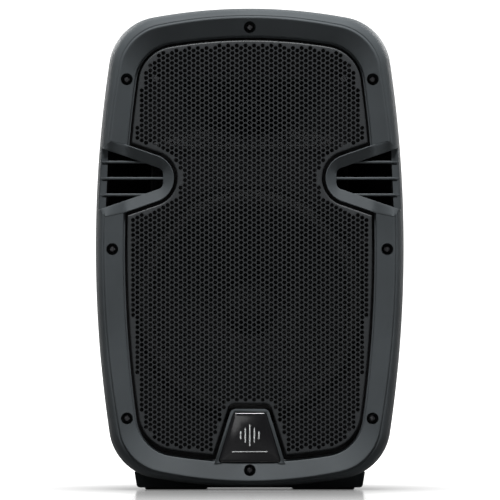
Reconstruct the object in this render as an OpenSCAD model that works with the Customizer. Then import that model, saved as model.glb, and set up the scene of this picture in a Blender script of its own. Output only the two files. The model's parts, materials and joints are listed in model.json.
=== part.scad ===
// Ten inch two-way powered PA speaker in a moulded cabinet.
// Millimetres. The front faces -Y, +Z is up and the feet stand on Z = 0.

/* [Cabinet] */
// Half of the front shell's width
cab_half_w = 155.2; // [150:0.1:160]
// Half of the front shell's height
cab_half_h = 240.9; // [236:0.1:246]
// Height of the front outline's centre above the floor
cab_mid_z = 244.4; // [241:0.1:248]
// Overall depth of the cabinet, front ridge to rear rim
cab_depth = 245; // [240:1:260]
// Radius of the long side arcs
side_arc_r = 1273; // [1200:1:1350]
// Radius of the top and bottom arcs
top_arc_r = 535; // [500:1:580]
// Radius of the four corner arcs
corner_r = 53.8; // [50:0.1:58]
// Moulded wall thickness
wall = 4; // [3:0.5:5]
// Distance from the front ridge to the seam between the shells
seam_depth = 71; // [65:1:80]

/* [Rear shell] */
// Half width just before the rear rim
rear_half_w = 110; // [106:1:114]
// Half height just before the rear rim
rear_half_h = 226; // [222:1:228]
// Height of the rear outline's centre above the floor
rear_mid_z = 234; // [232:1:236]
// Height of the plinth's flat bottom above the floor
plinth_z = 2.6; // [2.5:0.1:4]
// Inner diameter of the pole socket
pole_d = 36; // [35:0.5:38]
// Depth of the pole socket
pole_depth = 78; // [60:1:90]

/* [Drivers] */
// Height of the woofer's axis
woofer_z = 186.7; // [184:0.1:189]
// Outside diameter of the woofer's frame
woofer_d = 260; // [254:1:262]
// Height of the horn's axis
horn_z = 381; // [380:0.5:383]
// Width of the horn's mouth
horn_w = 184; // [170:1:186]
// Height of the horn's mouth
horn_h = 66; // [60:1:67]

/* [Ports] */
// Height of the ports' centre line
port_z = 314.7; // [313:0.1:316]
// Half angle between the two arms of a port trim
port_angle = 19; // [18:0.1:20]
// Thickness of a louvre fin
fin_t = 2.8; // [2:0.1:3.5]
// Spacing of the louvre fins
fin_pitch = 16.5; // [15:0.1:18]

/* [Amplifier] */
// Width of the rear panel
panel_w = 150; // [146:1:156]
// Height of the rear panel
panel_h = 270; // [268:1:280]
// Height of the rear panel's centre
panel_z = 200; // [198:1:205]
// Diameter of a control knob
knob_d = 16; // [13:0.5:18]

/* [Hidden] */

// ---- depths along Y ----
front_y = -cab_depth / 2;
rear_y = cab_depth / 2;
seam_y = front_y + seam_depth;
bezel_y = front_y + 7.5;
grille_y = front_y + 6.3;
baffle_y = front_y + 24.5;
baffle_back_y = baffle_y + 5;
seal_t = 0.8;
floor_y = rear_y - 14.5;
floor_t = 4;
panel_t = 2;
panel_y = floor_y + panel_t;

// ---- outline families: [half width, half height, side R, top R, corner R, centre Z] ----
rim_outline = [cab_half_w, cab_half_h, side_arc_r, top_arc_r, corner_r, cab_mid_z];
ridge_outline = [cab_half_w - 7.6, cab_half_h - 7.6, 1070, 441, 51.5, cab_mid_z];
bezel_outline = [cab_half_w - 27.7, cab_half_h - 26.1, 1248, 489, 42.7, cab_mid_z - 1.8];
grille_outline = [cab_half_w - 31.9, cab_half_h - 31.6, 1244, 485, 38.7, cab_mid_z - 0.7];
rear_outline = [rear_half_w, rear_half_h, 1100, 450, 45, rear_mid_z];
side_points = 8;
top_points = 8;
corner_points = 7;

// ---- colours ----
shell_grey = [0.25, 0.26, 0.27];
dark_grey = [0.16, 0.16, 0.17];
black = [0.08, 0.08, 0.09];
steel = [0.62, 0.63, 0.65];
zinc = [0.74, 0.74, 0.72];

// Outline p moved inwards by t, keeping its arc centres
function inset(p, t) = [p[0] - t, p[1] - t, p[2] - t, p[3] - t, p[4] - t, p[5]];
function mix(a, b, f) = a + (b - a) * f;
// Points along an arc in n steps, with its last point only if last is 1
function arc(c, r, a0, a1, n, last = 0) =
    [for (i = [0:n - 1 + last]) let(a = a0 + (a1 - a0) * i / n) [c[0] + r * cos(a), c[1] + r * sin(a)]];
function reversed(items) = [for (i = [len(items) - 1:-1:0]) items[i]];
// Centre of the corner arc that is tangent to the side arc and the top arc
function corner_centre(p) =
    let(side = [p[0] - p[2], 0], top = [0, p[1] - p[3]], d = norm(top - side),
        rs = p[2] - p[4], rt = p[3] - p[4],
        a = (rs * rs - rt * rt + d * d) / (2 * d), k = sqrt(rs * rs - a * a), u = (top - side) / d)
    [side[0] + a * u[0] - k * u[1], a * u[1] + k * u[0]];
// The cabinet's convex outline of four long arcs and four corner arcs, as [x, z] points
function outline(p) =
    let(c = corner_centre(p), sx = p[0] - p[2], tz = p[1] - p[3],
        a = atan2(c[1], c[0] - sx), b = atan2(c[1] - tz, c[0]),
        points = concat(
            arc([sx, 0], p[2], -a, a, side_points),
            arc(c, p[4], a, b, corner_points),
            arc([0, tz], p[3], b, 180 - b, top_points),
            arc([-c[0], c[1]], p[4], 180 - b, 180 - a, corner_points),
            arc([-sx, 0], p[2], 180 - a, 180 + a, side_points),
            arc([-c[0], -c[1]], p[4], 180 + a, 180 + b, corner_points),
            arc([0, -tz], p[3], 180 + b, 360 - b, top_points),
            arc([c[0], -c[1]], p[4], 360 - b, 360 - a, corner_points)))
    [for (q = points) [q[0], q[1] + p[5]]];
// An outline placed at depth y
function ring(p, y) = [for (q = outline(p)) [q[0], y, q[1]]];
// Superellipse of half sizes a and b; exponent 2 is an ellipse and 8 is nearly a rectangle
function squircle(a, b, e, n) =
    [for (i = [0:n - 1]) let(t = 360 * i / n, c = cos(t), s = sin(t))
        [a * sign(c) * pow(abs(c), 2 / e), b * sign(s) * pow(abs(s), 2 / e)]];
// Rectangle w by h with corner radius r, as points
function round_rect(w, h, r, n = 5) =
    concat([for (q = [[1, 1, 0], [-1, 1, 90], [-1, -1, 180], [1, -1, 270]]) each
        [for (i = [0:n]) let(a = q[2] + 90 * i / n)
            [q[0] * (w / 2 - r) + r * cos(a), q[1] * (h / 2 - r) + r * sin(a)]]]);
// Trapezoid with the given half widths at its top and bottom and round top corners
function trapezoid(top_half, bottom_half, top_z, bottom_z, r) =
    let(slope = atan2(bottom_half - top_half, top_z - bottom_z), cx = top_half - r * tan(45 - slope / 2))
    concat([[bottom_half, bottom_z]], arc([cx, top_z - r], r, slope, 90, 6, 1),
        arc([-cx, top_z - r], r, 90, 180 - slope, 6, 1), [[-bottom_half, bottom_z]]);
// V with its apex at x = -apex and a round nose of radius r; its arms run out to x = -reach
function port_v(apex, r, reach) =
    let(nose = -apex - r / sin(port_angle), arm = (reach - apex) * tan(port_angle))
    concat([[-reach, -arm]], arc([nose, 0], r, port_angle - 90, 90 - port_angle, 10, 1), [[-reach, arm]]);
// The port's opening: a V with its nose cut off upright and two small corners, grown by t
function port_mouth(t, reach) =
    let(apex = 60.7 - t / sin(port_angle), flat_x = -87.3 + t, r = 7 + t, cx = flat_x - r,
        cz = (-apex - cx) * tan(port_angle) - r / cos(port_angle), arm = (reach - apex) * tan(port_angle))
    concat([[-reach, -arm]], arc([cx, -cz], r, port_angle - 90, 0, 4, 1),
        arc([cx, cz], r, 0, 90 - port_angle, 4, 1), [[-reach, arm]]);

// Closed solid skinned over rings of points, with flat ends
module capped_loft(rings) {
    n = len(rings[0]);
    last = (len(rings) - 1) * n;
    walls = [for (k = [0:len(rings) - 2], i = [0:n - 1]) let(j = (i + 1) % n, a = k * n)
        each [[a + i, a + n + i, a + n + j], [a + i, a + n + j, a + j]]];
    ends = [[for (i = [0:n - 1]) i], [for (i = [n - 1:-1:0]) last + i]];
    polyhedron([for (r = rings) each r], concat(walls, ends), convexity = 6);
}
// Closed solid skinned over rings of points whose last ring joins the first
module looped_loft(rings) {
    n = len(rings[0]);
    m = len(rings);
    walls = [for (k = [0:m - 1], i = [0:n - 1]) let(j = (i + 1) % n, a = k * n, b = ((k + 1) % m) * n)
        each [[a + i, b + i, b + j], [a + i, b + j, a + j]]];
    polyhedron([for (r = rings) each r], walls, convexity = 6);
}
// Children drawn in the XZ plane, extruded from y0 to y1
module slab(y0, y1) {
    translate([0, y1, 0])
        rotate([90, 0, 0])
            linear_extrude(height = y1 - y0)
                children();
}
// Profile of [radius, y] points turned about an axis along Y at height z
module turned(points, x = 0, z = 0, fn = 96) {
    translate([x, 0, z])
        rotate([-90, 0, 0])
            rotate_extrude($fn = fn)
                polygon(points);
}
// Rod along Y from y0 to y1
module rod(x, z, r, y0, y1, fn = 40) {
    translate([x, y0, z])
        rotate([-90, 0, 0])
            cylinder(h = y1 - y0, r = r, $fn = fn);
}
// Box given by its lowest and highest corners
module span(low, high) {
    translate(low)
        cube(high - low);
}
module mirror_pair() {
    children();
    mirror([1, 0, 0])
        children();
}
// Tube of radius r swept along a route of points
module swept_tube(route, r, sides = 8) {
    n = len(route);
    dirs = [for (i = [0:n - 1]) let(d = route[min(i + 1, n - 1)] - route[max(i - 1, 0)]) d / norm(d)];
    rings = [for (i = [0:n - 1])
        let(d = dirs[i], up = abs(d[2]) > 0.85 ? [0, 1, 0] : [0, 0, 1],
            s = cross(d, up) / norm(cross(d, up)), t = cross(s, d))
        [for (k = [0:sides - 1]) let(a = 360 * k / sides) route[i] + r * (s * cos(a) + t * sin(a))]];
    capped_loft(rings);
}

// ---- front shell ----
case_screw_spots = [[0, 466.4], [0, 20.3], [123.8, 413.9], [-123.8, 413.9],
    [138.4, 242.9], [-138.4, 242.9], [123.6, 72.5], [-123.6, 72.5]];
screw_seat_y = baffle_y - 4;
boss_end_y = baffle_y + 0.5;
grille_posts = [for (x = [-1, 1], q = [[101, 426], [116, 252], [101, 61.5]]) [x * q[0], q[1]]];
port_reach = 143.7;
duct_wall = 2.5;
woofer_hole_r = 122;
seam_taper = 1.5;

module front_shell() {
    outer = [for (q = [[1, 0.4], [0.86, 1.4], [0.66, 3.2], [0.45, 6], [0.26, 10], [0.11, 15.5], [0, 24]])
        ring(mix(rim_outline, ridge_outline, q[0]), front_y + q[1])];
    seam = inset(rim_outline, seam_taper);
    inner = [ring(seam, seam_y), ring(inset(seam, wall), seam_y), ring(inset(rim_outline, wall), front_y + 24),
        ring(inset(rim_outline, wall + 2), front_y + 14), ring(inset(bezel_outline, -13), bezel_y + 2.5),
        ring(inset(bezel_outline, -3.5), bezel_y + 5), ring(inset(bezel_outline, -2.6), baffle_back_y)];
    front = [ring(inset(bezel_outline, 1.5), baffle_y), ring(bezel_outline, bezel_y + 0.6),
        ring(inset(bezel_outline, -0.6), bezel_y), ring(inset(ridge_outline, 1), front_y)];
    color(shell_grey)
        difference() {
            union() {
                capped_loft(reversed(concat(front, outer, inner)));
                for (s = case_screw_spots)
                    rod(s[0], s[1], 7.6, bezel_y + 1.5, boss_end_y);
                for (s = grille_posts)
                    rod(s[0], s[1], 3, grille_y + grille_t, baffle_y + 1);
            }
            rod(0, woofer_z, woofer_hole_r, baffle_y - 10, baffle_back_y + 10, 120);
            translate([0, 0, horn_z])
                slab(baffle_y - 10, baffle_back_y + 10)
                    polygon(round_rect(horn_w + 6, horn_h + 6, 12));
            woofer_bolts(1.9, baffle_back_y - 3.6, baffle_back_y + 5);
            for (s = horn_screw_spots)
                rod(s[0], s[1], 1.7, baffle_y - 2, baffle_y + 3.6, 24);
            translate([0, 0, port_z])
                mirror_pair()
                    slab(front_y - 5, duct_back_y + 1)
                        polygon(port_mouth(duct_wall + 0.2, port_reach + duct_wall + 0.2));
            for (s = case_screw_spots) {
                rod(s[0], s[1], 6, front_y - 5, screw_seat_y);
                rod(s[0], s[1], 2.4, screw_seat_y - 1, baffle_back_y + 5);
            }
        }
}

// ---- rear shell ----
recess_inset = 18;
column_r = 6;
// Each column runs back until it meets the tapered wall, or its rib does
column_ends = [-8, -6, -14, -14, -24, -24, -10, -10];
// Low end, high end and back end of the ribs that tie the top and bottom columns to the walls
column_ribs = [[468, 475.5, column_ends[0]], [7, 18, column_ends[1]]];
rib_t = 4;
plinth_front_y = seam_y + 5;
plinth_rear_y = rear_y - 24;
feet = [[74.5, -32, 63], [-74.5, -32, 63], [61, 80, 38], [-61, 80, 38]];
foot_d = 18;
foot_recess = 1.7;
handle_y = 45;
top_tilt = atan2(cab_mid_z + cab_half_h - seam_taper - rear_mid_z - rear_half_h, rear_y - 10.5 - seam_y);
handle_z = cab_mid_z + cab_half_h - seam_taper - (handle_y - seam_y) * tan(top_tilt);
handle_w = 128;
handle_d = 92;
pole_y = 20;
panel_cut_w = 130;
panel_cut_h = 252;

// Children placed in the frame of the sloping top, its origin on the surface
module on_top() {
    translate([0, handle_y, handle_z])
        rotate([-top_tilt, 0, 0])
            children();
}

module rear_shell() {
    front = inset(rim_outline, seam_taper);
    start_y = seam_y + seal_t;
    body = [ring(front, start_y), ring(mix(front, rear_outline, 0.5), mix(start_y, rear_y - 10.5, 0.5)),
        ring(rear_outline, rear_y - 10.5), ring(inset(rear_outline, 1.6), rear_y - 5),
        ring(inset(rear_outline, 4.6), rear_y - 1.4), ring(inset(rear_outline, 9), rear_y),
        ring(inset(rear_outline, 14), rear_y), ring(inset(rear_outline, 16.2), rear_y - 1.6),
        ring(inset(rear_outline, recess_inset), floor_y)];
    cavity = [ring(inset(front, wall), start_y - 1),
        ring(inset(mix(front, rear_outline, 0.5), wall), mix(start_y, rear_y - 10.5, 0.5)),
        ring(inset(rear_outline, wall), rear_y - 12), ring(inset(rear_outline, wall + 1.5), rear_y - 7),
        ring(inset(rear_outline, wall + 6), rear_y - 4.5), ring(inset(rear_outline, 12), rear_y - 5.5),
        ring(inset(rear_outline, recess_inset - wall), floor_y - floor_t)];
    color(shell_grey)
        difference() {
            union() {
                difference() {
                    union() {
                        capped_loft(reversed(body));
                        hull() {
                            plinth_slice(116.5, plinth_front_y);
                            plinth_slice(84, plinth_rear_y - 1);
                        }
                    }
                    capped_loft(reversed(cavity));
                }
                for (i = [0:len(case_screw_spots) - 1])
                    rod(case_screw_spots[i][0], case_screw_spots[i][1], column_r,
                        boss_end_y, column_ends[i]);
                for (rib = column_ribs)
                    span([-rib_t / 2, start_y + wall, rib[0]], [rib_t / 2, rib[2], rib[1]]);
            }
            for (s = case_screw_spots)
                rod(s[0], s[1], 2, boss_end_y - 1, boss_end_y + 24);
            translate([0, 0, panel_z])
                slab(floor_y - 10, rear_y + 5)
                    polygon(round_rect(panel_cut_w, panel_cut_h, 8));
            for (s = panel_screw_spots)
                rod(s[0], s[1], 1.5, floor_y - 10, rear_y + 5);
            on_top()
                translate([0, 0, -20])
                    linear_extrude(height = 40)
                        polygon(round_rect(handle_w, handle_d, 14));
            for (f = feet)
                translate([f[0], f[1], plinth_z - 5])
                    linear_extrude(height = 5 + foot_recess)
                        polygon(round_rect(f[2] + 0.6, foot_d + 0.6, 6));
            translate([0, pole_y, plinth_z - 5])
                cylinder(h = 5 + 3.5, r = 33.3, $fn = 72);
            translate([0, pole_y, plinth_z - 5])
                cylinder(h = 40, r = pole_d / 2 + 3.3, $fn = 72);
        }
}
// Thin upright slice of the plinth, half_w wide at its top
module plinth_slice(half_w, y) {
    slab(y, y + 1)
        polygon([[-half_w, 17.5], [-half_w + 2.5, plinth_z], [half_w - 2.5, plinth_z], [half_w, 17.5],
            [half_w - 8, 24], [8 - half_w, 24]]);
}

module shell_gasket() {
    seam = inset(rim_outline, seam_taper);
    color(black)
        looped_loft([ring(inset(seam, 0.6), seam_y), ring(inset(seam, 0.6), seam_y + seal_t),
            ring(inset(seam, 3.4), seam_y + seal_t), ring(inset(seam, 3.4), seam_y)]);
}

module case_screws() {
    color(dark_grey)
        for (s = case_screw_spots)
            difference() {
                union() {
                    rod(s[0], s[1], 3.9, screw_seat_y - 3, screw_seat_y, 32);
                    rod(s[0], s[1], 2, screw_seat_y, screw_seat_y + 26, 24);
                }
                cross_slot(s, screw_seat_y - 3, 4, -1);
            }
}
// Cross recess of a screw head facing along Y; side is -1 for a head that faces the front
module cross_slot(spot, y, size, side) {
    for (turn = [0, 90])
        translate([spot[0], y - side * 0.8, spot[1]])
            rotate([0, turn, 0])
                cube([size, 1.8, 0.9], center = true);
}

// ---- grille ----
grille_t = 1.2;
grille_rim = 12;
port_trim_apex = 25.5;
port_trim_r = 24.5;
port_gap = 3.5;

module grille_plan(t) {
    difference() {
        polygon(outline(inset(grille_outline, t)));
        mirror_pair()
            translate([0, port_z])
                polygon(port_v(port_trim_apex - (port_gap + t) / sin(port_angle), port_trim_r + port_gap + t, 170));
        polygon(trapezoid(20.3 + t, 41.7 + t, 87.3 + t, 20, 8 + t));
    }
}
module grille() {
    color(black)
        difference() {
            slab(grille_y, grille_y + grille_rim)
                grille_plan(0);
            slab(grille_y + grille_t, grille_y + grille_rim + 1)
                grille_plan(grille_t);
        }
}

// ---- ports ----
duct_back_y = seam_y - 4.5;
module port_duct(side) {
    color(shell_grey)
        on_side(side)
            translate([0, 0, port_z])
                difference() {
                    union() {
                        slab(bezel_y - 1.2, baffle_y)
                            intersection() {
                                polygon(port_v(port_trim_apex, port_trim_r, 170));
                                translate([0, -port_z])
                                    polygon(outline(inset(bezel_outline, 1.8)));
                            }
                        slab(bezel_y - 1.2, duct_back_y)
                            polygon(port_mouth(duct_wall, port_reach + duct_wall));
                    }
                    slab(bezel_y - 5, duct_back_y + 5)
                        difference() {
                            polygon(port_mouth(0, port_reach));
                            for (k = [-1:1])
                                translate([-170, k * fin_pitch - fin_t / 2])
                                    square([120, fin_t]);
                        }
                    // The fins stand back from the trim's face and stop at the baffle
                    for (cut = [[bezel_y - 5, bezel_y + 1], [baffle_y + 2, duct_back_y + 5]])
                        slab(cut[0], cut[1])
                            polygon(port_mouth(0, port_reach));
                }
}
// Children drawn for the left side, and mirrored where side is 1
module on_side(side) {
    if (side > 0)
        mirror([1, 0, 0])
            children();
    else
        children();
}
module port_duct_left() port_duct(-1);
module port_duct_right() port_duct(1);

// ---- badge ----
badge_face_y = bezel_y - 1.5;
badge_plate_t = 1.8;
badge_foot_z = 30.9;
// Only the frame's foot reaches back to the baffle; above it the frame clears the woofer's surround
badge_back_y = bezel_y + 10.5;
module badge_frame() {
    color(shell_grey)
        difference() {
            union() {
                slab(badge_face_y, badge_back_y)
                    polygon(trapezoid(17.9, 34.6, 82, badge_foot_z, 6));
                slab(badge_back_y - 1, baffle_y)
                    polygon(trapezoid(25, 33, 60, badge_foot_z, 3));
            }
            slab(badge_face_y - 1, badge_face_y + badge_plate_t)
                polygon(trapezoid(16.2, 31, 78.4, 32, 3.2));
        }
}
module badge_plate() {
    color(black)
        slab(badge_face_y - 0.4, badge_face_y + badge_plate_t)
            polygon(trapezoid(16, 30.8, 78.1, 32.2, 3));
}

// ---- woofer; every depth is counted back from the baffle ----
woofer_r = woofer_d / 2;
gasket_t = 1;
wy = baffle_back_y + gasket_t;
coil_r = 25;
woofer_screw_r = 126;
woofer_screw_count = 8;

module woofer_frame() {
    wall_line = [[woofer_r, 0], [116, 0], [116, 2.5], [114, 5], [111, 22], [69, 53], [61, 53], [59, 64], [30, 64],
        [30, 67], [61.5, 67], [63.5, 55.5], [70, 55.5], [113.5, 23.5], [117, 7], [117.5, 4], [woofer_r, 4]];
    color(dark_grey)
        difference() {
            turned([for (q = wall_line) [q[0], wy + q[1]]], z = woofer_z);
            for (k = [0:5])
                translate([0, 0, woofer_z])
                    rotate([0, 60 * k, 0])
                        slab(wy + 8, wy + 52)
                            polygon([[74, -26], [107, -42], [107, 42], [74, 26]]);
            woofer_bolts(2.5, wy - 5, wy + 10);
        }
}
module woofer_bolts(r, y0, y1) {
    for (k = [0:woofer_screw_count - 1])
        let(a = 360 * (k + 0.5) / woofer_screw_count)
            rod(woofer_screw_r * cos(a), woofer_z + woofer_screw_r * sin(a), r, y0, y1, 24);
}
module woofer_gasket() {
    color(black)
        difference() {
            turned([[122.5, baffle_back_y], [129.5, baffle_back_y], [129.5, wy], [122.5, wy]], z = woofer_z);
            woofer_bolts(2.5, wy - 5, wy + 10);
        }
}
module woofer_surround() {
    mid = 107;
    r = 9;
    skin = 0.8;
    front = wy - skin - 0.4;
    back = wy - 0.4;
    color(black)
        turned(concat([[97.2, front]], arc([mid, front], r, 180, 360, 12, 1),
            [[121, front], [121, back]], arc([mid, back], r - skin, 360, 180, 12, 1), [[97.2, back]]),
            z = woofer_z);
}
module woofer_cone() {
    color(dark_grey)
        turned([[99.5, wy], [95.5, wy], [72, wy + 9], [48, wy + 22], [coil_r + 0.5, wy + 38],
            [coil_r + 0.5, wy + 41], [coil_r + 1.2, wy + 41], [49, wy + 23.6], [73, wy + 10.2],
            [96, wy + 1], [99.5, wy + 1]], z = woofer_z);
}
module woofer_dust_cap() {
    r = 28.5;
    sphere_r = 46;
    rise = sphere_r - sqrt(sphere_r * sphere_r - r * r);
    top = [for (i = [0:8]) let(x = r * i / 8) [x, wy + 35.1 - rise + sphere_r - sqrt(sphere_r * sphere_r - x * x)]];
    under = [for (i = [8:-1:0]) let(x = (r - 0.6) * i / 8)
        [x, wy + 35.9 - rise + sphere_r - sqrt(sphere_r * sphere_r - x * x)]];
    color(black)
        turned(concat(top, under), z = woofer_z);
}
module woofer_voice_coil() {
    color("peru")
        turned([[coil_r, wy + 36], [coil_r + 0.4, wy + 36], [coil_r + 0.4, wy + 66], [coil_r + 1.2, wy + 66],
            [coil_r + 1.2, wy + 76], [coil_r, wy + 76]], z = woofer_z);
}
module woofer_spider() {
    waves = 5;
    steps = 40;
    r0 = coil_r + 0.7;
    r1 = 67;
    height = function(i) wy + 50.4 - 1.6 * cos(360 * waves * i / steps) * (i > 3 && i < 38 ? 1 : 0);
    front = [for (i = [0:steps]) [r0 + (r1 - r0) * i / steps, height(i)]];
    color("goldenrod")
        turned(concat(front, [for (i = [steps:-1:0]) [r0 + (r1 - r0) * i / steps, height(i) + 0.6]]),
            z = woofer_z);
}
module woofer_top_plate() {
    color(zinc)
        turned([[coil_r + 2, wy + 67], [55, wy + 67], [55, wy + 73], [coil_r + 2, wy + 73]], z = woofer_z);
}
module woofer_magnet() {
    color(dark_grey)
        turned([[33, wy + 73], [59, wy + 73], [60, wy + 74], [60, wy + 90], [59, wy + 91], [33, wy + 91]],
            z = woofer_z);
}
module woofer_pole_piece() {
    pole_r = coil_r - 0.8;
    color(zinc)
        turned([[8, wy + 66.5], [pole_r, wy + 66.5], [pole_r, wy + 91], [54, wy + 91], [55, wy + 92],
            [55, wy + 96], [54, wy + 97], [10, wy + 97], [8, wy + 95]], z = woofer_z);
}
module woofer_terminals() {
    color(black)
        translate([0, 0, woofer_z])
            rotate([0, 30, 0]) {
                span([95, wy + 38.5, -11], [99, wy + 58, 11]);
                span([88, wy + 41, -11], [95, wy + 44, 11]);
            }
    color("gold")
        translate([0, 0, woofer_z])
            rotate([0, 30, 0])
                for (z = [-6, 6])
                    span([99, wy + 46, z - 2.4], [100, wy + 56, z + 2.4]);
}

// ---- horn and compression driver ----
horn_flange_w = 198;
horn_flange_h = 76.8;
throat_r = 12.7;
throat_y = baffle_y + 56;
flare_steps = 6;
horn_screw_spots = [for (x = [-94.5, 94.5], z = [-33.4, 33.4]) [x, horn_z + z]];
// Horn section a fraction f of the way from the mouth to the throat, grown by t
function horn_ring(f, t, y) =
    let(e = mix(7, 2, pow(f, 0.5)), a = mix(throat_r, horn_w / 2, pow(1 - f, 1.7)),
        b = mix(throat_r, horn_h / 2, pow(1 - f, 1.25)))
    [for (q = squircle(a + t, b + t, e, 48)) [q[0], y, q[1] + horn_z]];
function plate_ring(a, b, e, y) = [for (q = squircle(a, b, e, 48)) [q[0], y, q[1] + horn_z]];

module horn_flare() {
    mouth_y = baffle_y - 3;
    inner = [for (i = [0:flare_steps]) let(f = i / flare_steps) horn_ring(f, 0, mix(mouth_y, throat_y, f))];
    outer = [for (i = [flare_steps - 1:-1:0]) let(f = i / flare_steps)
        horn_ring(f, 2.4, max(mix(mouth_y, throat_y, f) + 1.2, baffle_y))];
    color(dark_grey)
        difference() {
            looped_loft(concat(inner,
                [plate_ring(38, 38, 2, throat_y), plate_ring(38, 38, 2, throat_y - 4),
                    plate_ring(18, 18, 2, throat_y - 4)],
                outer,
                [plate_ring(horn_flange_w / 2, horn_flange_h / 2, 12, baffle_y),
                    plate_ring(horn_flange_w / 2, horn_flange_h / 2, 12, mouth_y)]));
            for (s = horn_screw_spots)
                rod(s[0], s[1], 1.8, mouth_y - 2, baffle_y + 2, 24);
            for (z = [-29, 29])
                rod(0, horn_z + z, 2.2, throat_y - 10, throat_y + 2, 24);
        }
}
// Screws of the woofer's frame, driven from behind, and of the horn, driven from the front
module speaker_screws() {
    color(steel) {
        difference() {
            woofer_bolts(4.2, wy + 4, wy + 7);
            woofer_bolts(1.3, wy + 6, wy + 8);
        }
        woofer_bolts(1.9, baffle_back_y - 3.5, wy + 4);
        for (s = horn_screw_spots)
            difference() {
                union() {
                    rod(s[0], s[1], 2.9, baffle_y - 4.8, baffle_y - 3, 24);
                    rod(s[0], s[1], 1.7, baffle_y - 3, baffle_y + 3.5, 24);
                }
                cross_slot(s, baffle_y - 4.8, 3, -1);
            }
    }
}
dome_r = 22;
module driver_pole_piece() {
    color(zinc)
        turned([[throat_r, throat_y], [38, throat_y], [38, throat_y + 6], [21.4, throat_y + 6],
            [21.4, throat_y + 24], [16, throat_y + 24]], z = horn_z);
}
module driver_phase_plug() {
    color(black) {
        turned([[0, throat_y + 3], [9.5, throat_y + 23.4], [9.5, throat_y + 24.4], [0, throat_y + 24.4]],
            z = horn_z);
        difference() {
            for (k = [0:2])
                translate([0, 0, horn_z])
                    rotate([0, 120 * k + 30, 0])
                        span([2, throat_y + 16, -0.8], [13.8, throat_y + 20, 0.8]);
            turned([[0, throat_y + 3], [9.5, throat_y + 23.4], [9.5, throat_y + 24.4], [0, throat_y + 24.4]],
                z = horn_z);
        }
    }
}
module driver_magnet() {
    color(dark_grey)
        turned([[26, throat_y + 6], [41, throat_y + 6], [42, throat_y + 7], [42, throat_y + 17],
            [41, throat_y + 18], [26, throat_y + 18]], z = horn_z);
}
module driver_top_plate() {
    color(zinc)
        turned([[dome_r + 0.8, throat_y + 18], [38, throat_y + 18], [38, throat_y + 24],
            [dome_r + 0.8, throat_y + 24]], z = horn_z);
}
module driver_diaphragm() {
    arc_r = 34;
    rise = sqrt(arc_r * arc_r - dome_r * dome_r);
    back = [for (i = [0:8]) let(x = dome_r * i / 8) [x, throat_y + 25.6 - rise + sqrt(arc_r * arc_r - x * x)]];
    front = [for (i = [8:-1:0]) let(x = (dome_r - 0.3) * i / 8)
        [x, throat_y + 25 - rise + sqrt(arc_r * arc_r - x * x)]];
    color("silver")
        turned(concat(back, [[dome_r + 0.3, throat_y + 25.6], [dome_r + 0.3, throat_y + 19.5],
            [dome_r - 0.1, throat_y + 19.5], [dome_r - 0.1, throat_y + 25]],
            [for (i = [1:8]) front[i]]), z = horn_z);
}
module driver_rear_cover() {
    color(black)
        turned([[25, throat_y + 24], [36, throat_y + 24], [36, throat_y + 41], [33, throat_y + 44],
            [0, throat_y + 44], [0, throat_y + 42], [32, throat_y + 42], [34, throat_y + 40],
            [34, throat_y + 26], [25, throat_y + 26]], z = horn_z);
}

// ---- amplifier ----
panel_screw_spots = [for (x = [-69.5, 69.5], z = [-129.5, -65, 0, 65, 129.5]) [x, panel_z + z]];
knob_z = 305;
knob_pitch = 26;
knob_h = 11;
shaft_r = 3;
jack_z = 256;
combo_x = [-48, -14];
link_x = 26;
phono_spots = [[52, jack_z + 8], [52, jack_z - 8]];
button_spot = [52, 282];
light_spots = [[-52, 283], [-40, 283]];
flange_holes = [[-9.5, 12], [9.5, -12]];
mains_z = 92;
inlet_x = -34;
inlet_screw_x = 18;
flange_screws = concat([for (x = concat(combo_x, [link_x]), p = flange_holes) [x + p[0], jack_z + p[1]]],
    [for (x = [-inlet_screw_x, inlet_screw_x]) [inlet_x + x, mains_z]]);
rocker_x = 34;
board_y = floor_y - 20;
heatsink_z = 166;

module amp_panel() {
    color(dark_grey)
        difference() {
            translate([0, 0, panel_z])
                slab(floor_y, panel_y)
                    polygon(round_rect(panel_w, panel_h, 5));
            for (s = panel_screw_spots)
                rod(s[0], s[1], 1.9, floor_y - 2, panel_y + 2, 24);
            for (k = [-2:2])
                rod(k * knob_pitch, knob_z, 4, floor_y - 2, panel_y + 2);
            for (x = concat(combo_x, [link_x]))
                rod(x, jack_z, 12.2, floor_y - 2, panel_y + 2, 64);
            for (s = phono_spots)
                rod(s[0], s[1], 3.2, floor_y - 2, panel_y + 2);
            rod(button_spot[0], button_spot[1], 3.4, floor_y - 2, panel_y + 2);
            for (s = concat(light_spots, flange_screws))
                rod(s[0], s[1], 1.6, floor_y - 2, panel_y + 2, 24);
            translate([inlet_x, 0, mains_z])
                slab(floor_y - 2, panel_y + 2)
                    polygon(round_rect(28, 34, 2));
            translate([rocker_x, 0, mains_z])
                slab(floor_y - 2, panel_y + 2)
                    polygon(round_rect(19.4, 28, 1.5));
        }
}
module amp_heatsink() {
    fins = 13;
    color(dark_grey) {
        span([-60, panel_y, heatsink_z - 42], [60, panel_y + 3, heatsink_z + 42]);
        for (k = [0:fins - 1])
            let(x = -51 + 102 * k / (fins - 1))
                span([x - 0.9, panel_y + 3, heatsink_z - 42], [x + 0.9, rear_y - 2, heatsink_z + 42]);
    }
}
board_low = 177;
board_high = 238;
standoff_spots = [for (x = [-53, 53], z = [board_low + 5, board_high - 5]) [x, z]];
module amp_board() {
    color([0.1, 0.32, 0.18])
        difference() {
            span([-58, board_y - 1.6, board_low], [58, board_y, board_high]);
            for (s = standoff_spots)
                rod(s[0], s[1], 1.6, board_y - 4, board_y + 2, 24);
        }
    color(steel)
        for (s = standoff_spots)
            difference() {
                rod(s[0], s[1], 3, board_y, floor_y, 24);
                rod(s[0], s[1], 1.3, board_y - 1, floor_y - 6, 24);
            }
}
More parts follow.
